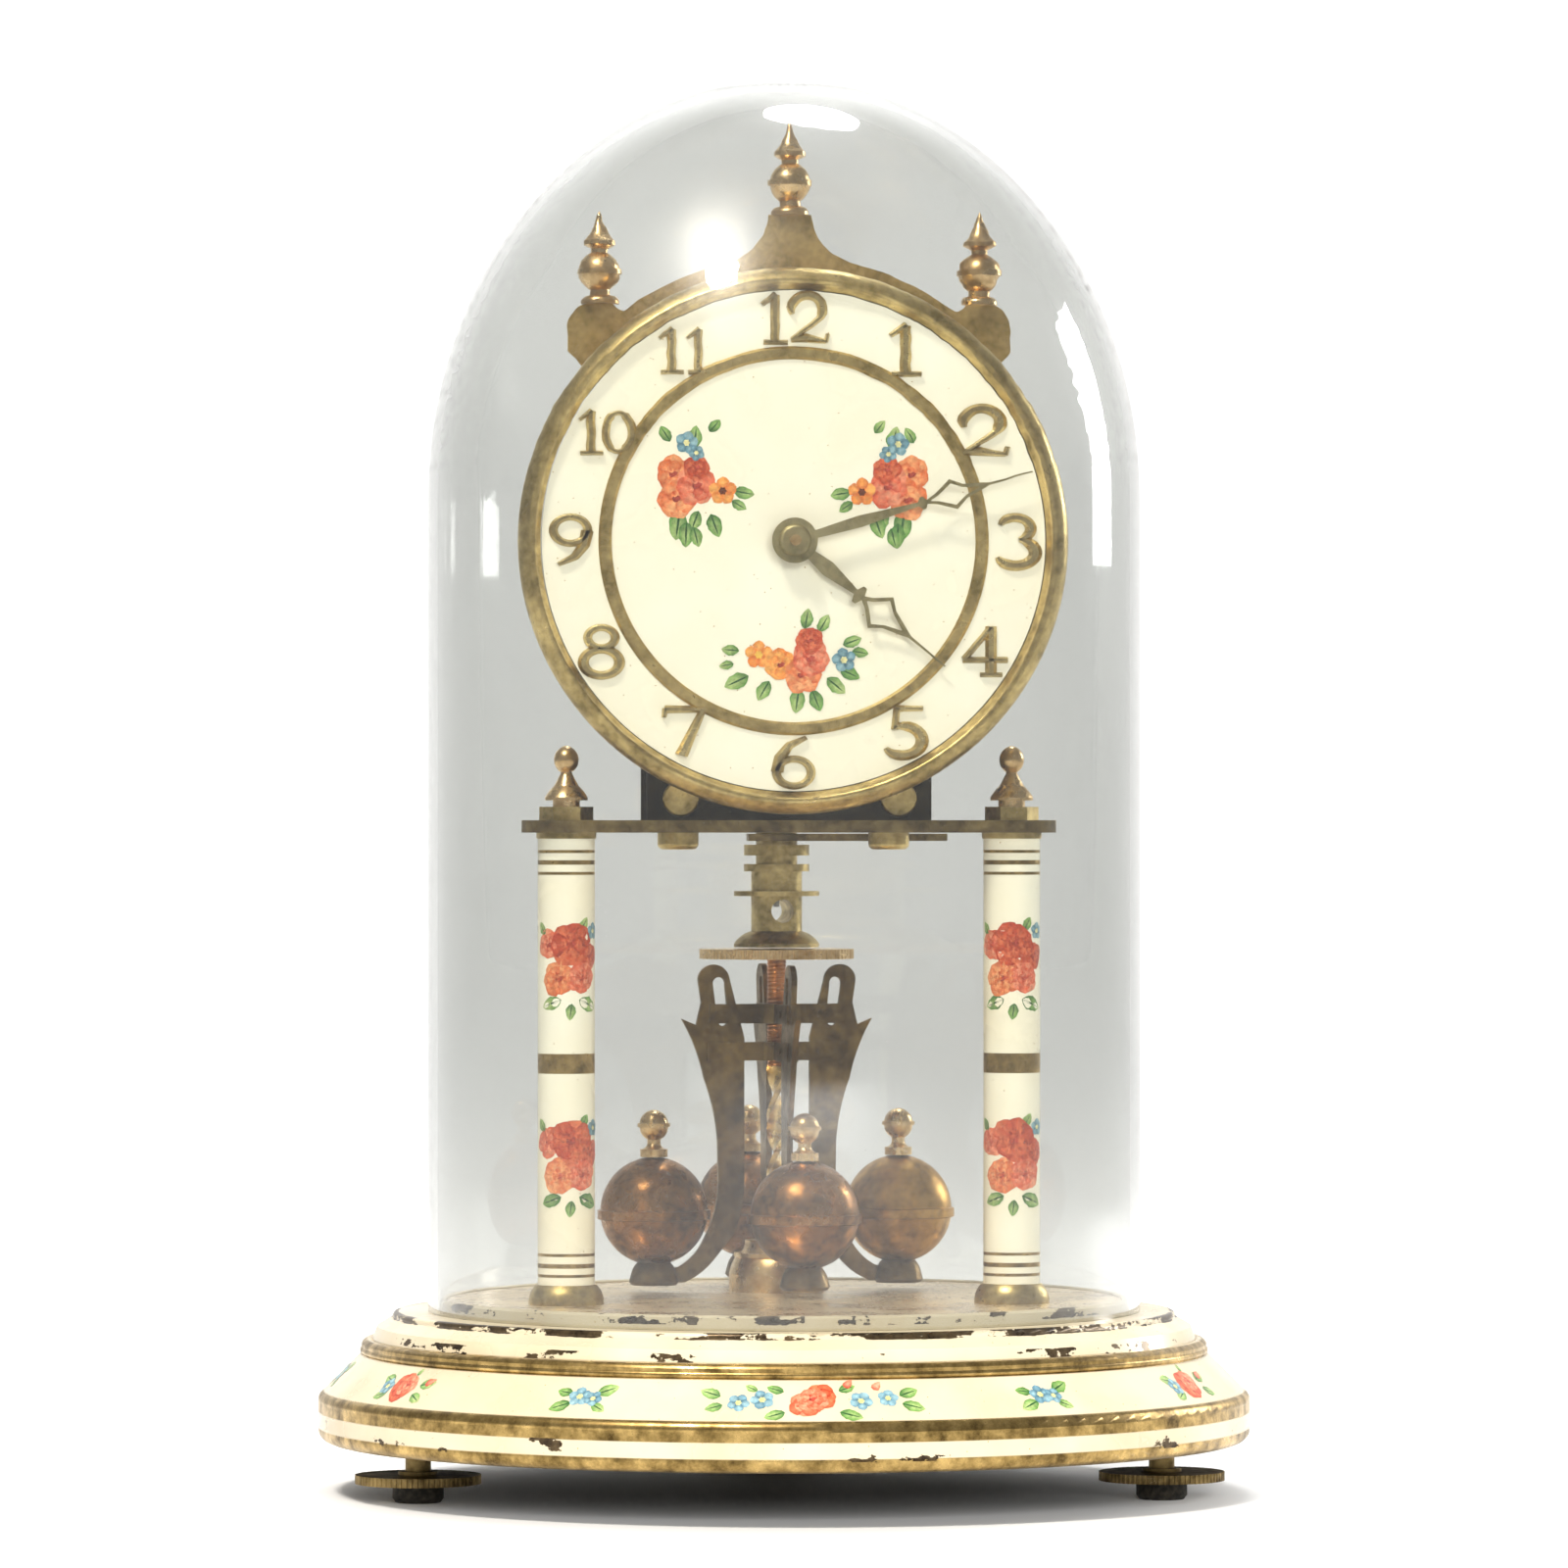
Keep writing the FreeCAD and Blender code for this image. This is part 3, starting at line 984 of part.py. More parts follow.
failed = [item.Name for item in doc.Objects if {"Invalid", "Error"} & set(item.State)]
if failed:
    raise RuntimeError(f"failed features: {failed}")
os.makedirs("parts", exist_ok=True)
for piece in pieces:
    if piece.Shape.isNull() or not piece.Shape.isValid():
        raise RuntimeError(f"{piece.Label} has no valid shape")
for piece in pieces:
    piece.Shape.exportStep(f"parts/{piece.Label}.step")
    print(f"{piece.Label}: {len(piece.Shape.Solids)} solids, {piece.Shape.Volume / 1000:.2f} cm3")
print(len(pieces), "pieces")
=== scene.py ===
# %% [markdown]
# # Anniversary clock under a glass dome
# A torsion-pendulum clock: enamelled brass base and pillars, a floral dial with applied
# numerals, four turned balls and a blown glass dome. The CAD frame gives every size and
# place; here each piece gets the finish that its maker gave it, with painted shade darkening
# the movement's plates, the levelling feet and the base's cream.

# %% Load the frame
import math
import random

import bpy
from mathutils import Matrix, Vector


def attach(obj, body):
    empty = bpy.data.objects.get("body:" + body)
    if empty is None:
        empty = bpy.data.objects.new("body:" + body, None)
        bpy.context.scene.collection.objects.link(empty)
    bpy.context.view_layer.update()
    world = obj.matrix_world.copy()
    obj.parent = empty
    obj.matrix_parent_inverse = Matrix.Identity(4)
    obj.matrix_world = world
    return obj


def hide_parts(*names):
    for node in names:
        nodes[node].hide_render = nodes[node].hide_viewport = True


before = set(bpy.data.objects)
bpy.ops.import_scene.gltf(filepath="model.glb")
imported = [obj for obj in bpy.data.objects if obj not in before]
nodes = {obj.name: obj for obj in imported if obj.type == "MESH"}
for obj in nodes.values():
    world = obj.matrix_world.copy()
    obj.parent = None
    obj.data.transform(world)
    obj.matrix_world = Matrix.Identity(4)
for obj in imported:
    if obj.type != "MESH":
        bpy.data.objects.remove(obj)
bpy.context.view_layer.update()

MM = 0.001

# %% [markdown]
# ## Colours and shader nodes
# Colours are written as sRGB hex, as a colour chart gives them, and turned to linear light
# by one function. One small function adds a shader node with its settings and links, so
# each finish below reads as a recipe.

# %% Colour and node helpers
def colour(code):
    """An sRGB hex colour as linear RGBA."""
    channels = [int(code[i:i + 2], 16) / 255 for i in (1, 3, 5)]
    linear = [c / 12.92 if c <= 0.04045 else ((c + 0.055) / 1.055) ** 2.4 for c in channels]
    return (*linear, 1.0)


def add(tree, kind, settings=None, **inputs):
    """Add a shader node. The setting stops fills its colour ramp with (place, hex) pairs. An
    input is named, or numbered as in i0, and takes a plain value, a socket, or a node, which
    stands for its first output."""
    made = tree.nodes.new(kind)
    for name, value in (settings or {}).items():
        if name != "stops":
            setattr(made, name, value)
            continue
        elements = made.color_ramp.elements
        for index, (place, code) in enumerate(value):
            element = elements[index] if index < len(elements) else elements.new(place)
            element.position = place
            element.color = colour(code)
    for name, value in inputs.items():
        numbered = name[0] == "i" and name[1:].isdigit()
        socket = made.inputs[int(name[1:]) if numbered else name.replace("_", " ")]
        if isinstance(value, bpy.types.Node):
            value = value.outputs[0]
        if isinstance(value, bpy.types.NodeSocket):
            tree.links.new(value, socket)
        else:
            socket.default_value = value
    return made


def new_finish(name):
    """An empty material, its shader tree and the place of each point in metres."""
    finish = bpy.data.materials.new(name)
    finish.use_nodes = True
    tree = finish.node_tree
    tree.nodes.clear()
    return finish, tree, add(tree, "ShaderNodeTexCoord").outputs["Object"]


def dress(finish, *names):
    """Give CAD nodes their finish."""
    for name in names:
        for slot in nodes[name].material_slots:
            slot.material = finish


MINUS, TIMES = {"operation": "SUBTRACT"}, {"operation": "MULTIPLY"}
TIMES_PLUS, LARGER = {"operation": "MULTIPLY_ADD"}, {"operation": "MAXIMUM"}
BELOW, ABOVE = {"operation": "LESS_THAN"}, {"operation": "GREATER_THAN"}
BLEND, BLEND_VALUE = {"data_type": "RGBA"}, {"data_type": "FLOAT"}

# %% [markdown]
# ## Stage
# A plain pale floor that bends up into a pale backdrop, as a paper sweep does.

# %% Stage
SWEEP_HALF, SWEEP_BACK, SWEEP_TOP, SWEEP_BEND, BEND_STEPS = 6.0, 2.4, 5.0, 1.2, 12


def add_stage():
    """A floor that bends up into a backdrop."""
    finish, tree, _ = new_finish("pale_floor_paint")
    grain = add(tree, "ShaderNodeTexNoise", Scale=9.0, Detail=3.0)
    tint = add(tree, "ShaderNodeValToRGB", {"stops": [(0.3, "#EFEFEE"), (0.7, "#F4F4F3")]},
               Fac=grain)
    body = add(tree, "ShaderNodeBsdfPrincipled", Base_Color=tint, Roughness=0.6)
    add(tree, "ShaderNodeOutputMaterial", Surface=body)

    profile = [(-SWEEP_HALF, 0.0), (SWEEP_BACK, 0.0)]
    for step in range(1, BEND_STEPS + 1):
        angle = math.pi / 2 * step / BEND_STEPS
        profile.append((SWEEP_BACK + SWEEP_BEND * math.sin(angle),
                        SWEEP_BEND - SWEEP_BEND * math.cos(angle)))
    profile.append((SWEEP_BACK + SWEEP_BEND, SWEEP_TOP))
    points = [(side * SWEEP_HALF, y, z) for y, z in profile for side in (-1, 1)]
    faces = [(2 * i, 2 * i + 1, 2 * i + 3, 2 * i + 2) for i in range(len(profile) - 1)]
    mesh = bpy.data.meshes.new("floor")
    mesh.from_pydata(points, [], faces)
    for face in mesh.polygons:
        face.use_smooth = True
    floor = bpy.data.objects.new("floor", mesh)
    bpy.context.collection.objects.link(floor)
    mesh.materials.append(finish)
    print("stage faces:", len(faces))


add_stage()

# %% [markdown]
# ## Light
# A small key light high on the left draws the shadows of the hands and of the base. A broad
# fill stands in front, and one lamp whitens the backdrop; both are kept out of reflections,
# because a dome mirrors every lamp round it. An oval and an upright softbox behind the clock
# give the glass its two highlights.

# %% Light
def add_light(name, place, target, size, power, shape="RECTANGLE", tint="#FFFFFF"):
    """An area lamp at a place, facing a target; size in metres and power in watts."""
    lamp = bpy.data.lights.new(name, "AREA")
    lamp.shape = shape
    lamp.size = size[0]
    lamp.size_y = size[1]
    lamp.energy = power
    lamp.color = colour(tint)[:3]
    light = bpy.data.objects.new(name, lamp)
    light.location = place
    light.rotation_euler = (Vector(target) - Vector(place)).to_track_quat("-Z", "Y").to_euler()
    bpy.context.collection.objects.link(light)
    return light


add_light("key", (-0.60, -0.88, 1.66), (0, 0, 0.12), (0.30, 0.30), 32, "ELLIPSE", "#FFF8EE")
fill = add_light("front_fill", (0.4, -2.6, 0.80), (0, 0, 0.14), (1.2, 0.9), 72)
add_light("glass_top", (0.14, 0.65, 1.30), (0, 0, 0.28), (0.36, 0.30), 7, "ELLIPSE")
add_light("glass_side", (1.05, 0.60, 0.47), (0, 0, 0.2), (0.24, 0.50), 6)
backdrop = add_light("backdrop", (0, 1.4, 3.2), (0, 3.5, 1.0), (3.0, 1.0), 80)
for unseen in (fill, backdrop):
    unseen.visible_glossy = False
    unseen.visible_transmission = False

world = bpy.data.worlds.new("studio")
world.use_nodes = True
world.node_tree.nodes["Background"].inputs["Color"].default_value = colour("#F6F7F8")
world.node_tree.nodes["Background"].inputs["Strength"].default_value = 0.38
bpy.context.scene.world = world
bpy.context.scene.view_settings.view_transform = "Standard"
print("lamps:", len(bpy.data.lights))

# %% [markdown]
# ## Camera
# The camera stands 1.7 m away at the height of the pillar tops with a long lens, a little to
# the left of the dial.

# %% Camera
CAMERA_REACH = 1.7
CAMERA_HEIGHT = 0.137
CAMERA_SIDE = math.radians(-3.3)
AIM_HEIGHT = 0.1444
LENS_MM = 191
SENSOR_MM = 36

lens = bpy.data.cameras.new("camera")
lens.lens = LENS_MM
lens.sensor_width = SENSOR_MM
camera = bpy.data.objects.new("camera", lens)
camera.location = (CAMERA_REACH * math.sin(CAMERA_SIDE), -CAMERA_REACH * math.cos(CAMERA_SIDE),
                   CAMERA_HEIGHT)
aim = Vector((0, 0, AIM_HEIGHT)) - camera.location
camera.rotation_euler = aim.to_track_quat("-Z", "Y").to_euler()
bpy.context.collection.objects.link(camera)
bpy.context.scene.camera = camera
print("camera", tuple(round(v, 3) for v in camera.location))

# %% [markdown]
# ## Brass, polished to tarnished
# Brass is turned, spun or punched and then lacquered. Where the lacquer has failed it goes
# olive brown in patches and gathers pale dust specks. One recipe makes every brass here, and
# the steel, from the bright metal, the dull metal and how far the tarnish has gone.

# %% Brass and steel
PATCH_MM = 9.0        # tarnish patches
SPECK_MM = 0.45       # dust and pits, drawn a little coarse so that they show
FINE_MM = 1.6         # clouding inside a patch
DRIFT_MM = 3.2        # where specks gather


def make_metal(name, bright, dull, specks, roughness, tarnish):
    """A lacquered metal that dulls in patches; tarnish runs from 0 to 1."""
    finish, tree, where = new_finish(name)
    patch = add(tree, "ShaderNodeTexNoise", Vector=where, Scale=1 / (PATCH_MM * MM), Detail=6.0,
                Roughness=0.62)
    cloud = add(tree, "ShaderNodeTexNoise", Vector=where, Scale=1 / (FINE_MM * MM), Detail=4.0)
    both = add(tree, "ShaderNodeMath", TIMES_PLUS, i0=cloud, i1=0.45, i2=patch)
    stops = [(0.52 + 0.2 * (1 - tarnish), bright), (0.86 + 0.1 * (1 - tarnish), dull)]
    metal = add(tree, "ShaderNodeValToRGB", {"stops": stops}, Fac=both)
    dust = add(tree, "ShaderNodeTexVoronoi", Vector=where, Scale=1 / (SPECK_MM * MM))
    drift = add(tree, "ShaderNodeTexNoise", Vector=where, Scale=1 / (DRIFT_MM * MM), Detail=2.0)
    size = add(tree, "ShaderNodeMapRange", Value=drift, From_Min=0.45, From_Max=0.75,
               To_Min=0.0, To_Max=specks)
    dot = add(tree, "ShaderNodeMath", BELOW, i0=dust, i1=size)
    paint = add(tree, "ShaderNodeMix", BLEND, i0=dot, i6=metal, i7=colour("#E9E0C6"))
    gloss = add(tree, "ShaderNodeMapRange", Value=both, From_Min=0.45, From_Max=1.0,
                To_Min=roughness, To_Max=roughness + 0.28)
    matt = add(tree, "ShaderNodeMath", TIMES_PLUS, i0=dot, i1=0.35, i2=gloss)
    shiny = add(tree, "ShaderNodeMath", MINUS, i0=1.0, i1=dot)
    pits = add(tree, "ShaderNodeBump", Strength=0.12, Distance=0.1 * MM, Height=both)
    body = add(tree, "ShaderNodeBsdfPrincipled", Base_Color=paint.outputs[2], Metallic=shiny,
               Roughness=matt, Normal=pits)
    add(tree, "ShaderNodeOutputMaterial", Surface=body)
    return finish


polished_brass = make_metal("polished_brass", "#EBCB98", "#B08C56", 0.10, 0.16, 0.35)
tarnished_brass = make_metal("tarnished_brass", "#E2C888", "#94804C", 0.20, 0.22, 0.6)
stamped_brass = make_metal("stamped_numeral_brass", "#DCC892", "#97845A", 0.14, 0.18, 0.5)
crown_brass = make_metal("lacquered_sheet_brass", "#DDBE7E", "#9C844C", 0.17, 0.30, 0.6)
# Tarnished brass, darkened further as painted shade: the levelling feet under the base and the
# movement's posts and platform stand in shadow.
aged_and_shaded_brass = make_metal("aged_brass_and_painted_shade", "#A58E5E", "#5C4D31", 0.16, 0.36, 0.9)
# Dark paint on the steel base plate; on the movement's front and back plates this darkness is
# painted shade, because they stand in shadow behind the dial.
dark_paint_and_shade_plate = make_metal("dark_paint_and_painted_shade_plate", "#4A3F2C", "#201B12", 0.16, 0.42, 0.9)
hand_brass = make_metal("antique_hand_brass", "#BDB186", "#8C825C", 0.14, 0.34, 0.6)
arm_brass = make_metal("punched_arm_brass", "#93784C", "#503F27", 0.14, 0.28, 0.75)
bronze_lacquer = make_metal("brown_lacquered_brass", "#BC8650", "#5E3F22", 0.16, 0.17, 0.8)
pale_ball_brass = make_metal("scuffed_ball_brass", "#D2A45A", "#8A6834", 0.10, 0.22, 0.5)
ribbon_brass = make_metal("twisted_ribbon_brass", "#F0CE8A", "#A67F45", 0.08, 0.15, 0.4)
copper_rod = make_metal("copper_flashed_rod", "#C58A5C", "#7B5030", 0.08, 0.20, 0.5)
bare_steel = make_metal("turned_steel", "#B9B8B4", "#76746F", 0.06, 0.26, 0.5)
print("finishes so far:", len(bpy.data.materials))

# %% [markdown]
# ## Floor plate
# The disc under the pendulum is brass too, but years of dust have settled on it: a warm pale
# film over a mirror. The film is rough, and the metal under it still reflects the pillars
# and balls softly.

# %% Dusty floor plate
FILM_MM = 12.0
GRIT_MM = 0.7


def make_floor_plate():
    """Brass under a film of dust."""
    finish, tree, where = new_finish("dusty_floor_brass")
    film = add(tree, "ShaderNodeTexNoise", Vector=where, Scale=1 / (FILM_MM * MM), Detail=8.0,
               Roughness=0.7)
    grit = add(tree, "ShaderNodeTexNoise", Vector=where, Scale=1 / (GRIT_MM * MM), Detail=2.0)
    mixed = add(tree, "ShaderNodeMath", TIMES_PLUS, i0=grit, i1=0.5, i2=film)
    tint = add(tree, "ShaderNodeValToRGB", {"stops": [(0.55, "#D8B88C"), (0.9, "#F2DFBC")]},
               Fac=mixed)
    rough = add(tree, "ShaderNodeMapRange", Value=mixed, From_Min=0.5, From_Max=1.0,
                To_Min=0.16, To_Max=0.42)
    metal = add(tree, "ShaderNodeMapRange", Value=mixed, From_Min=0.5, From_Max=1.0,
                To_Min=0.9, To_Max=0.35)
    body = add(tree, "ShaderNodeBsdfPrincipled", Base_Color=tint, Metallic=metal,
               Roughness=rough)
    add(tree, "ShaderNodeOutputMaterial", Surface=body)
    return finish


dusty_floor = make_floor_plate()
print("floor plate:", dusty_floor.name)

# %% [markdown]
# ## Stove enamel
# The cream parts are stove-enamelled brass: a hard glossy paint, a little yellowed in
# patches, with fine brown spots, that chips at edges and shows the dark metal below. The
# recipe takes two masks: where the brass was left bare for a gilt band, and where the paint
# has chipped.

# %% Enamel recipe
AGE_MM = 22.0
SPOT_MM = 2.6
CLOUD_MM = 5.0


def band(tree, value, low, high, soft):
    """1 between two levels in millimetres, 0 outside."""
    rise = add(tree, "ShaderNodeMapRange", Value=value, From_Min=(low - soft) * MM,
               From_Max=(low + soft) * MM)
    fall = add(tree, "ShaderNodeMapRange", Value=value, From_Min=(high - soft) * MM,
               From_Max=(high + soft) * MM, To_Min=1.0, To_Max=0.0)
    return add(tree, "ShaderNodeMath", TIMES, i0=rise, i1=fall)


def finish_enamel(tree, where, bare, chips, fresh, yellowed):
    """Cream paint, bare brass where bare is 1, and dark chips where chips is 1."""
    age = add(tree, "ShaderNodeTexNoise", Vector=where, Scale=1 / (AGE_MM * MM), Detail=5.0)
    cream = add(tree, "ShaderNodeValToRGB", {"stops": [(0.35, fresh), (0.7, yellowed)]}, Fac=age)
    spots = add(tree, "ShaderNodeTexVoronoi", Vector=where, Scale=1 / (SPOT_MM * MM))
    spot = add(tree, "ShaderNodeMath", BELOW, i0=spots, i1=0.055)
    spotted = add(tree, "ShaderNodeMix", BLEND, i0=spot, i6=cream, i7=colour("#B79B6C"))
    cloud = add(tree, "ShaderNodeTexNoise", Vector=where, Scale=1 / (CLOUD_MM * MM), Detail=8.0,
                Roughness=0.7)
    gilt = add(tree, "ShaderNodeValToRGB",
               {"stops": [(0.36, "#D0B070"), (0.52, "#9E8450"), (0.68, "#5E4C2C")]}, Fac=cloud)
    under = add(tree, "ShaderNodeValToRGB", {"stops": [(0.4, "#3A2E20"), (0.62, "#6B5A40")]},
                Fac=cloud)
    banded = add(tree, "ShaderNodeMix", BLEND, i0=bare, i6=spotted.outputs[2], i7=gilt)
    chipped = add(tree, "ShaderNodeMix", BLEND, i0=chips, i6=banded.outputs[2], i7=under)
    dark_metal = add(tree, "ShaderNodeMath", TIMES, i0=chips, i1=0.7)
    metal = add(tree, "ShaderNodeMath", LARGER, i0=bare, i1=dark_metal)
    dull = add(tree, "ShaderNodeMapRange", Value=cloud, From_Min=0.3, From_Max=0.7,
               To_Min=0.24, To_Max=0.44)
    paint_gloss = add(tree, "ShaderNodeMapRange", Value=age, From_Min=0.3, From_Max=0.7,
                      To_Min=0.2, To_Max=0.3)
    rough = add(tree, "ShaderNodeMix", BLEND_VALUE, i0=metal, i2=paint_gloss, i3=dull)
    depth = add(tree, "ShaderNodeMath", MINUS, i0=1.0, i1=chips)
    step = add(tree, "ShaderNodeBump", Strength=0.6, Distance=0.12 * MM, Height=depth)
    body = add(tree, "ShaderNodeBsdfPrincipled", Base_Color=chipped.outputs[2], Metallic=metal,
               Roughness=rough, Normal=step)
    add(tree, "ShaderNodeOutputMaterial", Surface=body)

# %% [markdown]
# ## Enamelled base
# The beads of the spun base are left bare as gilt bands, so the masks ask only for height
# and radius. Chips run along the edges that hands and the dome's foot rub: the crest, the
# seat's rim, the shoulder and the lower stripe. Their noise is stretched round the ring.

# %% Base enamel
GILT_LEVELS = [(9.5, 13.6), (16.8, 20.9)]
GILT_BEAD = (28.4, 31.5)
BEAD_RADIUS = (83.8, 100.0)
# radius from and to, height from and to, and how much noise it takes to chip
WORN_EDGES = [(78.4, 80.4, 35.0, 37.5, 0.99), (69.4, 70.8, 37.8, 40.2, 1.06),
              (94.5, 95.5, 12.8, 17.2, 1.13), (82.2, 84.5, 30.5, 33.5, 1.12)]
CHIP_MM, RAGGED_MM = 5.0, 1.6
RING_STRETCH = 80 * MM * 0.4        # radians round the ring to metres of noise


def make_base_enamel():
    """Cream enamel with bare gilt bands and worn edges."""
    finish, tree, where = new_finish("stoved_enamel_base")
    parts = add(tree, "ShaderNodeSeparateXYZ", Vector=where)
    across, ahead, height = (parts.outputs[axis] for axis in "XYZ")
    flat = add(tree, "ShaderNodeCombineXYZ", X=across, Y=ahead)
    reach = add(tree, "ShaderNodeVectorMath", {"operation": "LENGTH"}, i0=flat).outputs["Value"]
    bare = add(tree, "ShaderNodeMath", TIMES, i0=band(tree, height, *GILT_BEAD, 0.12),
               i1=band(tree, reach, *BEAD_RADIUS, 0.12))
    for levels in GILT_LEVELS:
        bare = add(tree, "ShaderNodeMath", LARGER, i0=bare, i1=band(tree, height, *levels, 0.12))

    heading = add(tree, "ShaderNodeMath", {"operation": "ARCTAN2"}, i0=across, i1=ahead)
    along = add(tree, "ShaderNodeMath", TIMES, i0=heading, i1=RING_STRETCH)
    ringed = add(tree, "ShaderNodeCombineXYZ", X=along, Y=reach, Z=height)
    flake = add(tree, "ShaderNodeTexNoise", Vector=ringed, Scale=1 / (CHIP_MM * MM), Detail=9.0,
                Roughness=0.62)
    ragged = add(tree, "ShaderNodeTexNoise", Vector=where, Scale=1 / (RAGGED_MM * MM),
                 Detail=4.0)
    mixed = add(tree, "ShaderNodeMath", TIMES_PLUS, i0=ragged, i1=0.22, i2=flake)
    chips = None
    for near, far, low, high, limit in WORN_EDGES:
        zone = add(tree, "ShaderNodeMath", TIMES, i0=band(tree, reach, near, far, 0.4),
                   i1=band(tree, height, low, high, 0.3))
        level = add(tree, "ShaderNodeMath", TIMES_PLUS, i0=zone, i1=0.4, i2=mixed)
        chip = add(tree, "ShaderNodeMath", ABOVE, i0=level, i1=limit)
        chips = add(tree, "ShaderNodeMath", LARGER, i0=chips, i1=chip) if chips else chip
    # The base's cream is darker than the same enamel on the pillars and the dial. This is painted
    # shade that offsets the stronger light the base gets outside the glass.
    finish_enamel(tree, where, bare, chips, "#DACDB0", "#CCBB9A")
    return finish


base_enamel = make_base_enamel()
print("base enamel nodes:", len(base_enamel.node_tree.nodes))

# %% [markdown]
# ## Pillar and dial enamel
# The pillars are tubes with the same cream paint. Three thin gilt lines stand at each end
# and one broad band at the middle. The dial's paint is cleaner, with only a few specks.

# %% Pillar and dial enamel
# height of the middle of each gilt line, and its width
LINE_HEIGHTS = [(45.3, 0.6), (47.3, 0.9), (49.5, 0.6), (88.0, 4.0), (126.3, 0.6), (128.5, 0.9),
                (130.7, 0.6)]
PILLAR_CHIP_MM = 2.2
DIAL_CHIP_MM = 1.5


def make_pillar_enamel():
    """Cream enamel with gilt lines at set heights."""
    finish, tree, where = new_finish("stoved_enamel_pillar")
    height = add(tree, "ShaderNodeSeparateXYZ", Vector=where).outputs["Z"]
    lines = None
    for middle, wide in LINE_HEIGHTS:
        line = band(tree, height, middle - wide / 2, middle + wide / 2, 0.06)
        lines = add(tree, "ShaderNodeMath", LARGER, i0=lines, i1=line) if lines else line
    flake = add(tree, "ShaderNodeTexNoise", Vector=where, Scale=1 / (PILLAR_CHIP_MM * MM),
                Detail=6.0)
    chips = add(tree, "ShaderNodeMath", ABOVE, i0=flake, i1=0.83)
    finish_enamel(tree, where, lines, chips, "#FFFAE6", "#FBF1D6")
    return finish


def make_dial_enamel():
    """Clean cream enamel with a few specks."""
    finish, tree, where = new_finish("printed_dial_enamel")
    flake = add(tree, "ShaderNodeTexNoise", Vector=where, Scale=1 / (DIAL_CHIP_MM * MM),
                Detail=3.0)
    specks = add(tree, "ShaderNodeMath", ABOVE, i0=flake, i1=0.86)
    finish_enamel(tree, where, 0.0, specks, "#FEF9E6", "#FBF3DA")
    return finish


pillar_enamel = make_pillar_enamel()
dial_enamel = make_dial_enamel()
print("gilt lines on a pillar:", len(LINE_HEIGHTS))

# %% [markdown]
# ## Blown glass dome
# A soda-lime bell blown in a mould: IOR just under 1.5, two millimetres thick, faintly grey,
# with settled dust and a thin film that spreads each lamp's highlight. The wall is modelled
# with both skins, so it refracts only a little. Light has to get in to show the clock, so
# shadow rays and diffuse rays pass as they do through thin glass.

# %% Glass
DUST_MM = 1.3
DUST_DRIFT_MM = 16.0


def make_glass():
    """Clear glass with a thin film and settled dust."""
    finish, tree, where = new_finish("blown_glass")
    glass = add(tree, "ShaderNodeBsdfPrincipled", Base_Color=colour("#E1E2E0"), Roughness=0.015,
                IOR=1.48, Transmission_Weight=1.0)
    clear = add(tree, "ShaderNodeBsdfTransparent", Color=colour("#E9EAE8"))
    haze = add(tree, "ShaderNodeBsdfAnisotropic", Color=colour("#F2F2F0"), Roughness=0.3)
    filmed = add(tree, "ShaderNodeMixShader", Fac=0.025, i1=glass, i2=haze)
    path = add(tree, "ShaderNodeLightPath")
    soft = add(tree, "ShaderNodeMath", LARGER, i0=path.outputs["Is Shadow Ray"],
               i1=path.outputs["Is Diffuse Ray"])
    seen = add(tree, "ShaderNodeMixShader", Fac=soft, i1=filmed, i2=clear)
    dust = add(tree, "ShaderNodeTexVoronoi", Vector=where, Scale=1 / (DUST_MM * MM))
    drift = add(tree, "ShaderNodeTexNoise", Vector=where, Scale=1 / (DUST_DRIFT_MM * MM),
                Detail=3.0)
    limit = add(tree, "ShaderNodeMapRange", Value=drift, From_Min=0.5, From_Max=0.8,
                To_Min=0.0, To_Max=0.12)
    speck = add(tree, "ShaderNodeMath", BELOW, i0=dust, i1=limit)
    amount = add(tree, "ShaderNodeMath", TIMES, i0=speck, i1=0.35)
    chalk = add(tree, "ShaderNodeBsdfDiffuse", Color=colour("#F2F1EC"))
    dusty = add(tree, "ShaderNodeMixShader", Fac=amount, i1=seen, i2=chalk)
    add(tree, "ShaderNodeOutputMaterial", Surface=dusty)
    return finish


blown_glass = make_glass()
print("glass:", blown_glass.name)

# %% [markdown]
# ## Rubber
# The feet end in moulded black rubber: nearly black, rough, with a dusty bloom.

# %% Rubber
BLOOM_MM = 1.2


def make_rubber():
    """Black rubber with a dusty bloom."""
    finish, tree, where = new_finish("moulded_rubber")
    bloom = add(tree, "ShaderNodeTexNoise", Vector=where, Scale=1 / (BLOOM_MM * MM), Detail=4.0)
    tint = add(tree, "ShaderNodeValToRGB", {"stops": [(0.4, "#15130F"), (0.7, "#3A352C")]},
               Fac=bloom)
    body = add(tree, "ShaderNodeBsdfPrincipled", Base_Color=tint, Roughness=0.75)
    add(tree, "ShaderNodeOutputMaterial", Surface=body)
    return finish


foot_rubber = make_rubber()
print("rubber:", foot_rubber.name)

# %% [markdown]
# ## Dress the CAD pieces
# Each CAD piece takes the finish of the real part: enamel on the spun and drawn brass, bright
# lacquer on what is turned and a browner lacquer on the pendulum's balls. The movement, which
# stands in shadow behind the dial, and the levelling feet under the base take dark finishes
# that paint in that shade.

# %% Dress the CAD pieces
dress(base_enamel, "base_shell")
dress(pillar_enamel, "left_pillar", "right_pillar")
dress(dial_enamel, "dial")
dress(dusty_floor, "floor_disc")
dress(blown_glass, "glass_dome")
dress(foot_rubber, "left_foot_tip", "right_foot_tip", "rear_foot_tip")
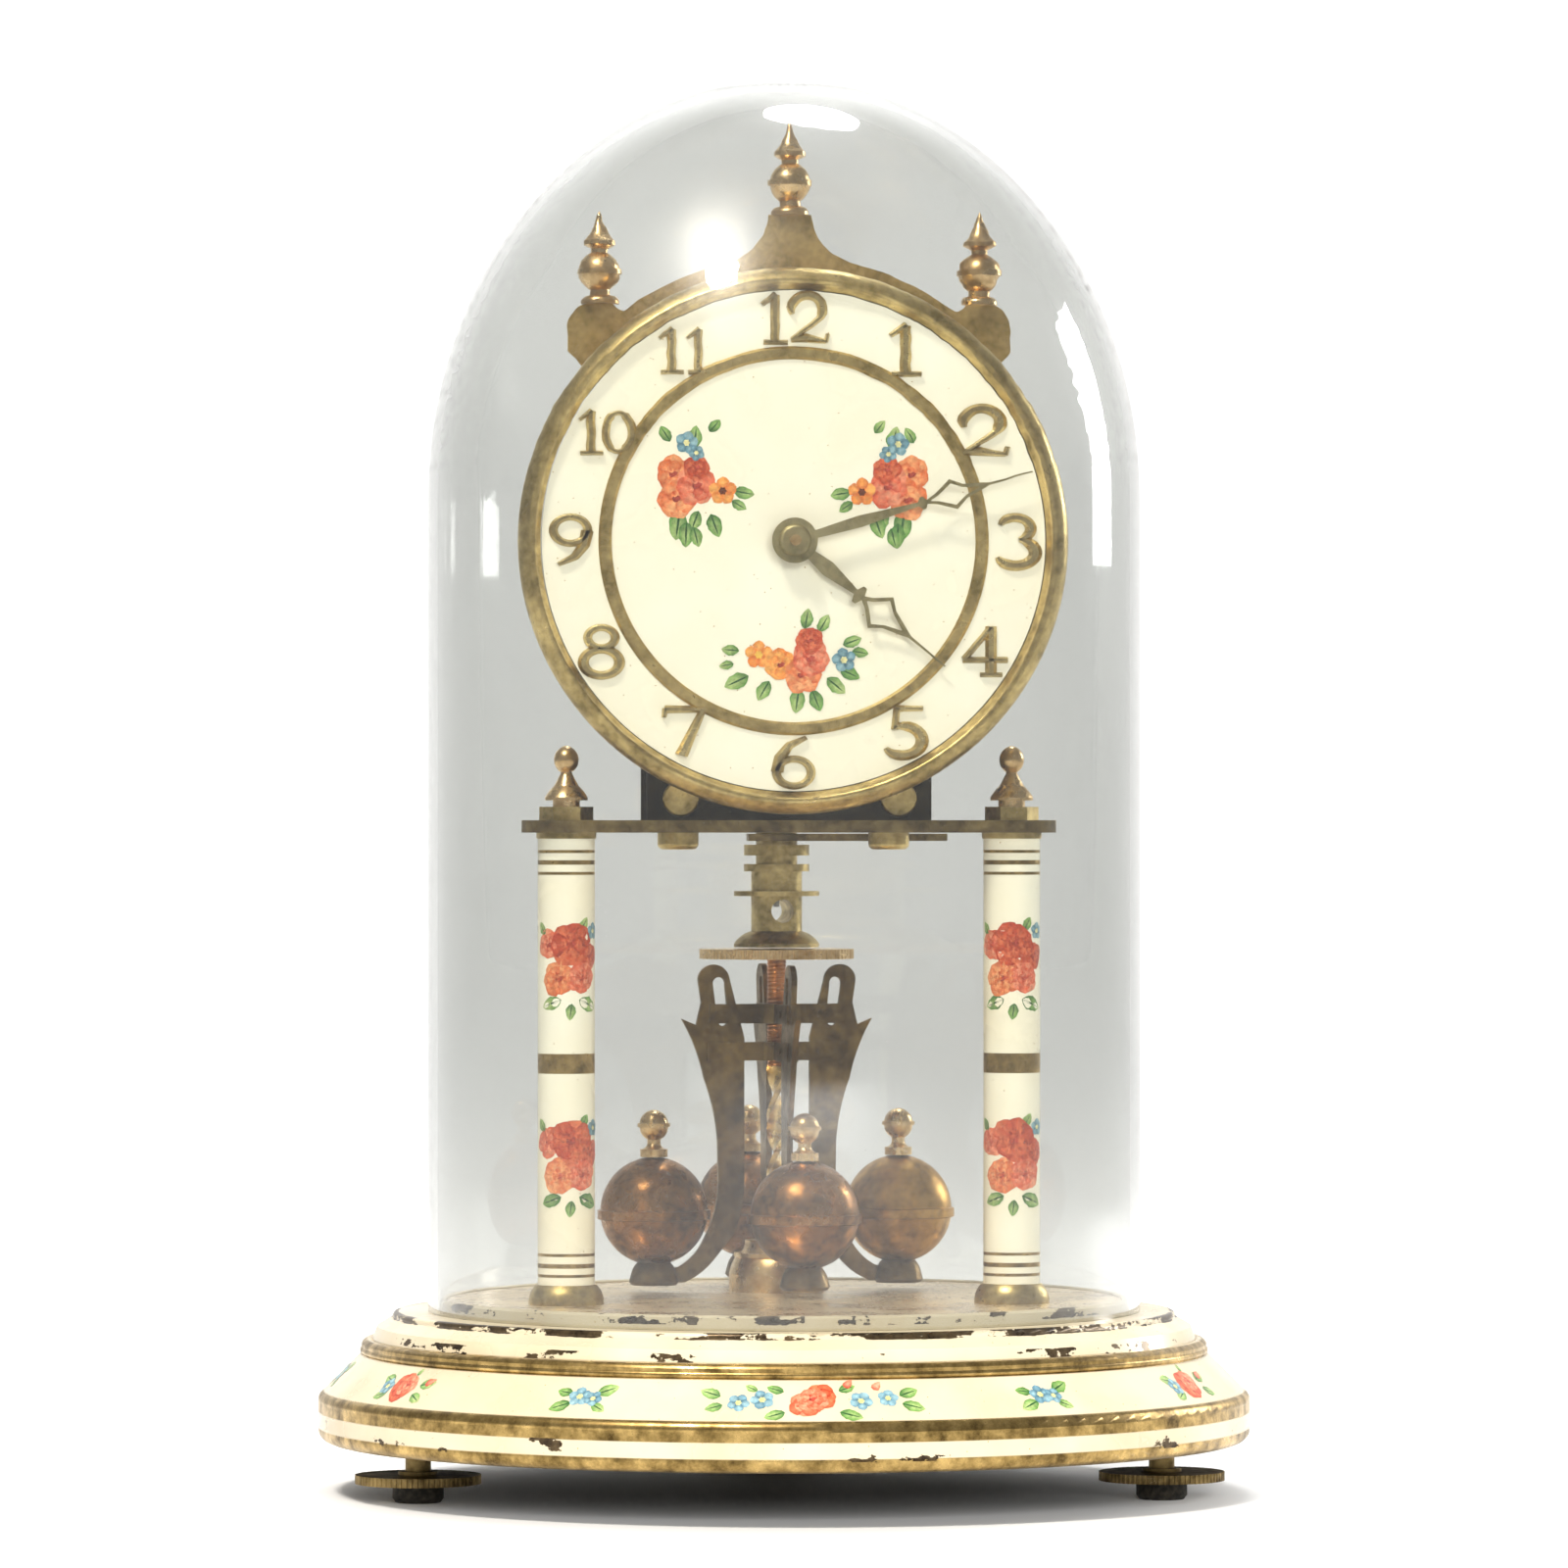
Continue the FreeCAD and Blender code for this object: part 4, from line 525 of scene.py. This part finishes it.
# The base plate is dark from its paint; the movement's front and back plates are dark from
# painted shade.
dress(dark_paint_and_shade_plate, "base_plate", "front_plate", "back_plate")
dress(polished_brass, "crown_finials", "pillar_finials", "pendulum_cup", "ball_finials",
      "suspension_block", "regulator_disc", "cannon_pinion", "minute_wheel", "hour_wheel",
      "centre_arbor", "intermediate_wheel", "second_wheel", "third_wheel", "escape_wheel",
      "spring_barrel", "suspension_fork")
dress(tarnished_brass, "bezel", "chapter_ring", "pillar_ferrules", "platform_fasteners",
      "pendulum_head", "plate_screws", "suspension_bracket")
dress(crown_brass, "crown_plate")
# This dark brass is painted shade on the levelling feet under the base and on the movement's
# posts and platform.
dress(aged_and_shaded_brass, "platform", "lock_lever", "plate_posts", "left_levelling_foot",
      "right_levelling_foot", "rear_levelling_foot")
dress(hand_brass, "hour_hand", "minute_hand")
dress(arm_brass, "arm_straps", *[f"pendulum_arm_{i}" for i in range(1, 5)])
dress(bronze_lacquer, *[f"pendulum_ball_{i}" for i in range(2, 5)])
dress(pale_ball_brass, "pendulum_ball_1")
dress(ribbon_brass, "pendulum_spindle")
dress(bare_steel, "mainspring", "winding_arbor", "click", "anchor", "suspension_spring")
print("CAD pieces:", len(nodes))

# %% [markdown]
# ## Applied numerals
# The hour figures are stamped from brass sheet: a broad stroke with a flat top and bevelled
# flanks, so each stroke catches one bright edge. A stroke here is a path with a width at
# every point; the profile across it is a bevelled bar, swept along the path.

# %% Strokes and meshes
DIAL_HEIGHT = 0.1929
DIAL_FACE = -0.034
# across the stroke from -1 to 1, and how high the bar stands there
BAR_PROFILE = ((-1.0, 0.02), (-0.96, 0.35), (-0.42, 1.0), (0.42, 1.0), (0.96, 0.35), (1.0, 0.02))


def add_mesh(name, vertices, faces, finish, body, smooth=False):
    """A mesh piece that rides on a body."""
    mesh = bpy.data.meshes.new(name)
    mesh.from_pydata([tuple(v) for v in vertices], [], faces)
    mesh.materials.append(finish)
    for face in mesh.polygons:
        face.use_smooth = smooth
    mesh.update()
    piece = bpy.data.objects.new(name, mesh)
    bpy.context.collection.objects.link(piece)
    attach(piece, body)
    return piece


def on_dial(x, z, lift):
    """A place on the dial, in millimetres from its centre."""
    return Vector((x * MM, DIAL_FACE - lift * MM, DIAL_HEIGHT + z * MM))


def arc(x, z, across, up, start, stop, steps=14):
    """Points on an ellipse between two angles."""
    turns = [math.radians(start + (stop - start) * i / steps) for i in range(steps + 1)]
    return [(x + across * math.cos(t), z + up * math.sin(t)) for t in turns]


def swell(points, thin, thick, low=0.15, high=0.85):
    """Widths that grow to thick in the middle of a stroke and shrink to thin at its ends."""
    widths = []
    for index in range(len(points)):
        share = index / (len(points) - 1)
        rise = min(1, share / low) * min(1, (1 - share) / (1 - high))
        widths.append(thin + (thick - thin) * rise)
    return widths


def sweep_stroke(vertices, faces, path, widths, place, scale, height):
    """A bevelled bar along a path, from foot to foot over a flat top."""
    first = len(vertices)
    closed = math.dist(path[0], path[-1]) < 0.01
    points = path[:-1] if closed else path
    count, wide = len(points), len(BAR_PROFILE)
    for index, point in enumerate(points):
        ahead = points[(index + 1) % count] if closed or index < count - 1 else point
        behind = points[index - 1] if closed or index > 0 else point
        along = Vector((ahead[0] - behind[0], ahead[1] - behind[1])).normalized()
        side = Vector((-along.y, along.x))
        half = widths[index] * 0.5
        for across, lift in BAR_PROFILE:
            x = point[0] + side.x * half * across
            z = point[1] + side.y * half * across
            vertices.append(place(x * scale, z * scale, lift * height))
    for row in range(count if closed else count - 1):
        this = first + row * wide
        then = first + ((row + 1) % count) * wide
        faces += [(this + k, this + k + 1, then + k + 1, then + k) for k in range(wide - 1)]
    if not closed:
        faces.append(tuple(first + k for k in reversed(range(wide))))
        faces.append(tuple(first + (count - 1) * wide + k for k in range(wide)))

# %% [markdown]
# ### The figures
# Each figure stands in a box 11 high. It is a list of strokes, each a path and its widths,
# and then the figure's own width.

# %% Figures
FIGURE_HEIGHT = 11.0


def figure_strokes(digit):
    """The strokes of a digit and how wide it is."""
    if digit == "1":
        return [([(3.4, 0.6), (3.4, 10.4)], [1.9, 1.9]), ([(1.1, 0.55), (5.9, 0.55)], [1.1, 1.1]),
                ([(0.9, 8.4), (3.6, 10.6)], [1.0, 1.5])], 6.4
    if digit == "2":
        sweep = arc(3.9, 7.4, 3.0, 3.0, 200, -40, 18) + [(1.2, 1.4)]
        return [(sweep, swell(sweep, 0.9, 2.1)),
                ([(0.8, 1.1), (3.6, 1.5), (7.6, 0.8)], [1.1, 1.9, 1.0]),
                ([(7.6, 0.6), (8.0, 2.4)], [0.9, 0.8])], 8.4
    if digit == "3":
        top = arc(3.6, 8.1, 2.5, 2.3, 160, -75, 14)
        low = arc(3.7, 3.2, 3.1, 2.7, 80, -160, 16)
        return [(top, swell(top, 0.9, 1.9)), (low, swell(low, 0.9, 2.2))], 7.6
    if digit == "4":
        return [([(5.2, 0.5), (5.2, 10.6)], [1.9, 1.9]), ([(5.2, 10.4), (0.9, 3.8)], [1.2, 1.2]),
                ([(0.6, 3.6), (7.9, 3.6)], [1.3, 1.3]),
                ([(3.4, 0.5), (7.0, 0.5)], [1.0, 1.0])], 8.2
    if digit == "5":
        bowl = arc(3.6, 3.5, 3.2, 3.1, 118, -150, 18)
        return [(bowl, swell(bowl, 0.9, 2.2)), ([(2.3, 5.8), (2.7, 10.3)], [1.2, 1.2]),
                ([(2.4, 10.2), (6.9, 10.2)], [1.5, 1.1])], 7.6
    if digit in "69":
        ring = arc(3.9, 3.5, 2.8, 2.8, 90, 450, 26)
        tail = [(1.2, 3.6), (1.7, 6.6), (3.2, 9.1), (5.9, 10.7)]
        strokes = [(ring, [1.5] * len(ring)), (tail, [2.1, 2.0, 1.6, 0.9])]
        if digit == "9":
            strokes = [([(7.8 - x, 11.2 - z) for x, z in path], wide) for path, wide in strokes]
        return strokes, 7.8
    if digit == "7":
        return [([(0.7, 10.0), (7.3, 10.0)], [1.7, 1.4]), ([(6.9, 9.9), (3.4, 0.4)], [1.2, 2.2]),
                ([(0.8, 10.2), (0.6, 8.3)], [1.0, 0.8])], 7.6
    if digit == "8":
        top = arc(3.7, 8.3, 2.2, 2.1, 0, 360, 24)
        low = arc(3.7, 3.2, 2.9, 2.7, 0, 360, 26)
        return [(top, [1.5] * len(top)), (low, [1.8] * len(low))], 7.4
    ring = arc(3.7, 5.5, 2.9, 4.6, 0, 360, 32)
    return [(ring, [1.9 if abs(x - 3.7) > 1.6 else 1.2 for x, _ in ring])], 7.4

# %% [markdown]
# ### Round the dial
# The numerals stand upright on one circle and are joined into one piece, which stands for
# the plain numerals of the CAD. The wide ones are drawn inward until they clear the edge.

# %% Numerals
NUMERAL_CIRCLE = 44.4         # how far out the middles of the numerals stand
NUMERAL_LIMIT = 50.2          # no corner goes past this, so the pairs are drawn inward
NUMERAL_HALF = 5.1            # half a numeral's height, for that test
NUMERAL_THICK = 1.15
PAIR_GAP = -0.7               # the two figures of 10, 11 and 12 close up
WIDE_SINGLE, WIDE_PAIR = 1.28, 1.08
# how large each numeral is, from 1 to 12
FIGURE_SCALE = [0.98, 0.96, 0.98, 0.96, 0.96, 0.97, 0.96, 0.97, 0.95, 0.84, 0.86, 0.96]


def build_numerals():
    """The twelve numerals as one piece."""
    vertices, faces = [], []
    for hour, scale in enumerate(FIGURE_SCALE, 1):
        figures = [figure_strokes(digit) for digit in str(hour)]
        gap, widen = (PAIR_GAP, WIDE_PAIR) if hour > 9 else (0, WIDE_SINGLE)
        width = sum(wide for _, wide in figures) + gap
        angle = math.radians(90 - 30 * hour)
        side = (width / 2 - 0.5) * scale * widen
        up = NUMERAL_HALF * scale
        corner = math.hypot(NUMERAL_CIRCLE * abs(math.cos(angle)) + side,
                            NUMERAL_CIRCLE * abs(math.sin(angle)) + up)
        reach = NUMERAL_CIRCLE - max(0, corner - NUMERAL_LIMIT)
        across, level = reach * math.cos(angle), reach * math.sin(angle)
        cursor = -width / 2
        for strokes, wide in figures:
            def place(x, z, lift):
                return on_dial(across + (cursor * scale + x) * widen,
                               level - FIGURE_HEIGHT / 2 * scale + z, lift)
            for path, widths in strokes:
                sweep_stroke(vertices, faces, path, widths, place, scale, NUMERAL_THICK)
            cursor += wide + gap
    reaches = [math.hypot(v.x, v.z - DIAL_HEIGHT) / MM for v in vertices]
    print("numeral reach, mm:", round(min(reaches), 2), round(max(reaches), 2))
    piece = add_mesh("applied_numerals", vertices, faces, stamped_brass, "stand")
    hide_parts("numerals")
    print("numerals:", len(faces), "faces")


build_numerals()

# %% [markdown]
# ## Threaded rod
# The upper rod carries the regulating nut, so it is screw-cut along its length. The thread
# is modelled as a helix on a sleeve a tenth of a millimetre over the plain rod, in the
# copper colour of its flashing.

# %% Threaded rod
AXIS_Y = 27.0
PITCH = 0.8
THREAD_LOW, THREAD_HIGH = 86.0, 108.2
THREAD_ROOT, THREAD_CREST = 1.84, 2.06
THREAD_SIDES, ROWS_PER_TURN = 24, 8


def build_thread():
    """A closed sleeve whose surface rises and falls along a helix."""
    rows = int((THREAD_HIGH - THREAD_LOW) / PITCH * ROWS_PER_TURN)
    vertices, faces = [], []
    for row in range(rows + 1):
        level = THREAD_LOW + (THREAD_HIGH - THREAD_LOW) * row / rows
        for step in range(THREAD_SIDES):
            angle = 2 * math.pi * step / THREAD_SIDES
            phase = (level / PITCH - step / THREAD_SIDES) % 1
            reach = THREAD_ROOT + (THREAD_CREST - THREAD_ROOT) * (1 - abs(2 * phase - 1))
            vertices.append(Vector((reach * math.cos(angle), AXIS_Y + reach * math.sin(angle),
                                    level)) * MM)
    for row in range(rows):
        this, then = row * THREAD_SIDES, (row + 1) * THREAD_SIDES
        for step in range(THREAD_SIDES):
            right = (step + 1) % THREAD_SIDES
            faces.append((this + step, this + right, then + right, then + step))
    faces.append(tuple(reversed(range(THREAD_SIDES))))
    faces.append(tuple(rows * THREAD_SIDES + k for k in range(THREAD_SIDES)))
    add_mesh("threaded_rod", vertices, faces, copper_rod, "pendulum", True)
    print("thread rows:", rows)


build_thread()

# %% [markdown]
# ## Transfer-printed flowers
# The roses, blue five-petalled flowers, buds and leaves are lithographed transfers laid on
# the enamel before the last stoving, so they are flat, with small brushy strokes of darker
# and lighter colour. Each petal is a thin coloured patch a few hundredths of a millimetre
# proud, shaded from base to tip by a colour stored on its corners, and mapped onto the
# surface that carries it: the flat dial, the round pillars or the sloping side of the base.

# %% Print finish
BRUSH_MM = 0.75


def make_print():
    """Flat colour from the patches, broken up by small brush strokes."""
    finish, tree, where = new_finish("litho_transfer_print")
    paint = add(tree, "ShaderNodeAttribute", {"attribute_name": "paint"}).outputs["Color"]
    brush = add(tree, "ShaderNodeTexNoise", Vector=where, Scale=1 / (BRUSH_MM * MM), Detail=3.0,
                Roughness=0.6)
    level = add(tree, "ShaderNodeMapRange", Value=brush, From_Min=0.3, From_Max=0.7,
                To_Min=0.66, To_Max=1.22)
    toned = add(tree, "ShaderNodeVectorMath", {"operation": "SCALE"}, i0=paint, Scale=level)
    body = add(tree, "ShaderNodeBsdfPrincipled", Base_Color=toned, Roughness=0.3)
    add(tree, "ShaderNodeOutputMaterial", Surface=body)
    return finish


litho_print = make_print()
print("print finish:", litho_print.name)

# %% [markdown]
# ### Petals and leaves
# Every flower is built of one kind of patch, a petal, with three shades from foot to tip.
# A fixed random seed for each transfer scatters its edges and tones.

# %% Petals and leaves
RED = ("#8A1A0E", "#BC3A1C", "#E27A4E")
SALMON = ("#B83A18", "#E26C36", "#F6AE76")
PINK = ("#AE2E1A", "#DE5C38", "#F2A07C")
ORANGE = ("#D8622A", "#F08C3C", "#F9B45E")
DARK_RED = ("#7E1F1A", "#A8302A", "#CE5540")
LEAF = ("#33702E", "#6A9E48", "#BACB84")
LEAF_VEIN = ("#24552B",) * 3
BLUE = ("#2E5868", "#5C8CA0", "#9ABCC2")
BUD = ("#C9402E", "#E87A58", "#F4A98A")
BROWN_HEART, GOLD_HEART = ("#6A2E14",) * 3, ("#F0C050",) * 3
CREAM_HEART, OLIVE_HEART = ("#E7DFA0",) * 3, ("#D8D08A",) * 3
PETAL_STEPS = 9
PRINT_LIFT, LAYER_LIFT = 0.03, 0.0006
# the whorls of a rose: petals, their length and width, and the turn of the first
WHORLS = ((7, 1.0, 0.95, 0.5), (6, 0.74, 0.72, 0.25), (4, 0.46, 0.5, 0.0))


def mix_tones(shades, share, rng):
    """Colour between foot, middle and tip shades, with a little scatter."""
    share = min(1, max(0, share + rng.uniform(-0.12, 0.12)))
    low, high = (shades[0], shades[1]) if share < 0.5 else (shades[1], shades[2])
    blend = share * 2 if share < 0.5 else share * 2 - 1
    return tuple(a + (b - a) * blend for a, b in zip(colour(low), colour(high)))


class Print:
    """Coloured patches gathered for one surface, in millimetres on that surface."""

    def __init__(self, rng):
        self.patches = []
        self.rng = rng

    def petal(self, x, y, turn, length, width, shades, tip=0.6):
        """A rounded patch from its foot at (x, y): dark at the foot, pale at the tip."""
        rng = self.rng
        ring, tones = [], []
        shift = rng.uniform(-0.22, 0.22)
        out = [(i, 1) for i in range(PETAL_STEPS + 1)]
        back = [(i, -1) for i in range(PETAL_STEPS - 1, 0, -1)]
        for i, side in out + back:
            share = i / PETAL_STEPS
            bulge = math.sin(math.pi * share ** tip) ** 0.75 if 0 < share < 1 else 0
            half = width / 2 * bulge * (1 + rng.uniform(-0.12, 0.12))
            along = length * share
            ring.append((x + along * math.cos(turn) - side * half * math.sin(turn),
                         y + along * math.sin(turn) + side * half * math.cos(turn)))
            tones.append(mix_tones(shades, share * 0.72 + shift, rng))
        middle = (x + length * 0.55 * math.cos(turn), y + length * 0.55 * math.sin(turn))
        self.patches.append(([middle] + ring, [mix_tones(shades, 0.95 + shift, rng)] + tones))

    def rose(self, x, y, size, shades, turn=0.0):
        """A cabbage rose: three whorls and a dark folded heart."""
        for count, reach, wide, low in WHORLS:
            for i in range(count):
                angle = turn + 2 * math.pi * (i + self.rng.uniform(-0.2, 0.2)) / count + low
                length = size * reach * self.rng.uniform(0.85, 1.1)
                self.petal(x, y, angle, length, size * wide, shades, 1.5)
        self.petal(x - size * 0.2, y - 0.05 * size, 0.3, size * 0.5, size * 0.3, DARK_RED)
        self.petal(x, y + size * 0.1, 2.2, size * 0.34, size * 0.22, shades[::-1])

    def open_flower(self, x, y, size, shades, heart, turn=0.3):
        """Five separate petals round a small heart."""
        for i in range(5):
            self.petal(x, y, turn + 2 * math.pi * i / 5, size, size * 0.85, shades, 1.5)
        for i in range(6):
            self.petal(x, y, 2 * math.pi * i / 6, size * 0.3, size * 0.3, heart)

    def leaves(self, x, y, *sprigs):
        """Leaves with a dark vein, each as (along, up, heading in degrees, length)."""
        for dx, dy, heading, length in sprigs:
            turn = math.radians(heading)
            self.petal(x + dx, y + dy, turn, length, length * 0.6, LEAF, 0.9)
            self.petal(x + dx, y + dy, turn, length * 0.9, length * 0.08, LEAF_VEIN, 0.9)

    def lay(self, name, place):
        """One mesh of all patches; place(x, y, lift) gives a point on the carrying surface."""
        vertices, faces, tones = [], [], []
        for layer, (points, colours) in enumerate(self.patches, 1):
            first = len(vertices)
            lift = PRINT_LIFT + LAYER_LIFT * layer
            vertices += [place(x, y, lift) for x, y in points]
            count = len(points) - 1
            for i in range(count):
                trio = (0, 1 + i, 1 + (i + 1) % count)
                faces.append(tuple(first + k for k in trio))
                tones += [colours[k] for k in trio]
        piece = add_mesh(name, vertices, faces, litho_print, "stand")
        paint = piece.data.color_attributes.new("paint", "FLOAT_COLOR", "CORNER")
        for corner, tone in zip(paint.data, tones):
            corner.color = tone
        print(name, len(faces), "patch faces")

# %% [markdown]
# ### On the dial
# Three sprays: two upright ones left and right of the hands' centre, and a wide one low down.

# %% Dial flowers
def side_spray(work, x, z, way):
    """An upright spray; way is 1 when its orange flower hangs to the right, -1 to the left."""
    work.leaves(x, z, (way * 1.0, 7.0, 80, 5.0), (-way * 3.5, 8.6, 120, 3.6),
                (way * 4.4, 10.6, 50, 3.2), (way * 2.2, -5.2, 250, 4.4),
                (-way * 1.5, -5.0, 262, 6.2), (way * 4.6, -5.8, 290, 5.0),
                (way * 9.2, -1.2, 350 if way > 0 else 190, 4.2),
                (way * 8.8, -3.2, 330 if way > 0 else 215, 3.4),
                (-way * 0.2, -7.4, 268, 5.2), (way * 1.2, -8.4, 284, 4.2))
    work.rose(x - way * 2.9, z + 2.2, 3.8, SALMON, 0.2)
    work.rose(x - way * 2.2, z - 2.8, 4.2, SALMON, 1.0)
    work.rose(x + way * 1.8, z - 0.2, 4.4, PINK, 2.0)
    work.rose(x + way * 1.9, z + 3.4, 2.9, RED, 0.5)
    work.open_flower(x + way * 7.0, z - 1.2, 2.9, ORANGE, BROWN_HEART)
    work.open_flower(x - way * 0.2, z + 8.4, 2.4, BLUE, CREAM_HEART, 0.1)
    work.open_flower(x + way * 1.8, z + 6.4, 1.7, BLUE, CREAM_HEART, 0.8)


def low_spray(work, x, z):
    """A wide spray with its roses in the middle and a flower at each end."""
    work.leaves(x, z, (-11.5, 1.4, 175, 3.6), (-9.6, -3.6, 205, 5.4), (-5.5, -4.6, 240, 4.6),
                (1.6, 5.8, 80, 4.2), (4.4, 5.2, 60, 4.0), (6.0, -4.0, 320, 4.8),
                (9.2, 2.6, 20, 4.0), (11.0, 1.4, 350, 3.4), (0.4, -6.2, 262, 5.0),
                (3.0, -6.4, 292, 4.6), (8.6, -2.2, 335, 4.4), (-12.6, -1.2, 190, 3.0))
    work.open_flower(x - 7.6, z + 0.6, 2.9, ORANGE, GOLD_HEART)
    work.rose(x - 3.2, z - 1.4, 3.4, ORANGE, 0.3)
    work.rose(x + 0.9, z - 3.4, 3.9, SALMON, 1.2)
    work.rose(x + 2.6, z - 0.2, 4.0, PINK, 2.3)
    work.rose(x + 2.4, z + 3.4, 2.9, RED, 0.9)
    work.open_flower(x + 9.4, z - 0.4, 2.5, BLUE, CREAM_HEART, 0.5)


dial_print = Print(random.Random(11))
side_spray(dial_print, -21.2, 11.2, 1)
side_spray(dial_print, 20.6, 11.0, -1)
low_spray(dial_print, 0.6, -23.4)
dial_print.lay("dial_flowers", on_dial)

# %% [markdown]
# ### On the pillars
# Two sprays of roses on each pillar, above and below its gilt band, with leaves under each.
# The transfer wraps round the tube, so the piece is mapped by arc length.

# %% Pillar flowers
PILLAR_X, PILLAR_Y, PILLAR_RADIUS = 44.9, -19.0, 5.72
SPRAY_LEVELS = (108.5, 68.9)


def print_pillar(name, side, facing, seed):
    """Flowers on one pillar, turned by facing to the front."""
    work = Print(random.Random(seed))
    for level in SPRAY_LEVELS:
        work.leaves(0, level, (-1.8, -7.6, 200, 4.6), (1.8, -7.6, 338, 5.0),
                    (0.3, -8.4, 262, 3.4), (2.2, 6.2, 60, 3.2), (-5.6, 5.4, 120, 3.0))
        work.rose(-4.6, level + 3.4, 3.2, PINK, 0.4)
        work.rose(4.4, level + 1.2, 3.0, RED, 1.0)
        work.rose(-2.2, level - 3.4, 3.8, SALMON, 0.9)
        work.rose(2.4, level - 3.2, 3.4, PINK, 2.4)
        work.rose(0.2, level + 3.6, 4.8, RED, 1.7)
        work.open_flower(5.6, level + 6.2, 1.8, BLUE, CREAM_HEART)

    def place(x, z, lift):
        reach = PILLAR_RADIUS + lift
        angle = facing + x / PILLAR_RADIUS
        return Vector((side * PILLAR_X + reach * math.sin(angle),
                       PILLAR_Y - reach * math.cos(angle), z)) * MM
    work.lay(name, place)


print_pillar("left_pillar_flowers", -1, 0.12, 23)
print_pillar("right_pillar_flowers", 1, -0.05, 31)

# %% [markdown]
# ### On the base
# Rose sprays and blue sprays alternate round the sloping side, six of each to the turn. A
# rose spray has two roses, a blue flower and a bud; a blue spray has two blue flowers among
# leaves. The rose sprays at the front and the back are wider, with four blue flowers.

# %% Base flowers
CONE_TOP_RADIUS, CONE_TOP = 86.2, 28.6
CONE_FOOT_RADIUS, CONE_FOOT = 94.0, 20.8
CONE_SLOPE = math.hypot(CONE_FOOT_RADIUS - CONE_TOP_RADIUS, CONE_TOP - CONE_FOOT)
CONE_MIDDLE = (CONE_TOP_RADIUS + CONE_FOOT_RADIUS) / 2
SPRAYS = 12
BLUE_SPRAY_SHIFT = 1.0        # degrees


def on_cone(turn):
    """A map from (along, up) on the sloping side, centred at a heading, to a point."""
    def place(x, y, lift):
        share = 0.5 + y / CONE_SLOPE
        out = lift * math.sqrt(0.5)
        reach = CONE_FOOT_RADIUS + (CONE_TOP_RADIUS - CONE_FOOT_RADIUS) * share + out
        level = CONE_FOOT + (CONE_TOP - CONE_FOOT) * share + out
        angle = turn + x / CONE_MIDDLE
        return Vector((reach * math.sin(angle), -reach * math.cos(angle), level)) * MM
    return place


def wide_spray(work):
    """Three roses in the middle, two blue flowers on each side and two buds."""
    work.leaves(0, 0, (-17.6, 1.0, 160, 4.4), (-17, -1.2, 200, 3.6), (17.6, 1.0, 20, 4.2),
                (17.8, -1.0, 340, 4.6), (-5, -3.0, 200, 4.2), (5.4, -3.0, 340, 4.6),
                (5.6, 2.4, 20, 3.6), (-5.2, 2.2, 160, 3.6), (-10.4, 2.4, 150, 2.8))
    for x, y, size in ((-14.0, -0.6, 2.3), (-9.4, 0.2, 2.5), (9.8, -0.2, 2.4), (15.2, 0.4, 2.2)):
        work.open_flower(x, y, size, BLUE, OLIVE_HEART, x)
    for x, y in ((12.6, 2.6), (6.9, 3.2)):
        work.petal(x, y, 0.9, 2.6, 1.7, BUD)
    work.rose(-0.9, -1.0, 3.6, PINK, 0.4)
    work.rose(1.9, 1.0, 3.5, RED, 1.4)
    work.rose(0.3, 0.3, 3.2, PINK, 2.6)


def rose_spray(work):
    """Two roses, a blue flower and a bud."""
    work.leaves(0, 0, (-5.4, 0.8, 165, 4.4), (-4.6, -1.8, 205, 4.2), (5.2, 0.6, 15, 4.6),
                (4.8, -1.8, 335, 4.0), (1.4, 3.0, 70, 2.2))
    work.rose(-0.6, -0.2, 4.0, RED, 0.9)
    work.rose(1.0, 0.5, 2.9, PINK, 2.0)
    work.open_flower(-6.2, -0.4, 2.2, BLUE, OLIVE_HEART)
    work.petal(6.6, 1.0, 0.5, 3.0, 1.8, BUD)


def blue_spray(work):
    """Two blue flowers among leaves."""
    work.leaves(0, 0, (2.6, 1.0, 25, 4.8), (-2.2, -1.4, 205, 4.6), (-2.6, 0.9, 170, 3.6),
                (2.4, -1.6, 330, 3.6))
    work.open_flower(-0.8, 0.2, 2.5, BLUE, OLIVE_HEART, 0.4)
    work.open_flower(2.2, -0.2, 2.0, BLUE, OLIVE_HEART, 1.1)


def print_base():
    """Twelve transfers round the base, cut from one run of random draws."""
    rng = random.Random(5)
    for step in range(SPRAYS):
        work = Print(rng)
        spray = blue_spray if step % 2 else rose_spray
        if step % (SPRAYS // 2) == 0:
            spray = wide_spray
        spray(work)
        heading = 360 / SPRAYS * step + (BLUE_SPRAY_SHIFT if step % 2 else 0)
        work.lay(f"base_flowers_{step:02d}", on_cone(math.radians(heading)))


print_base()
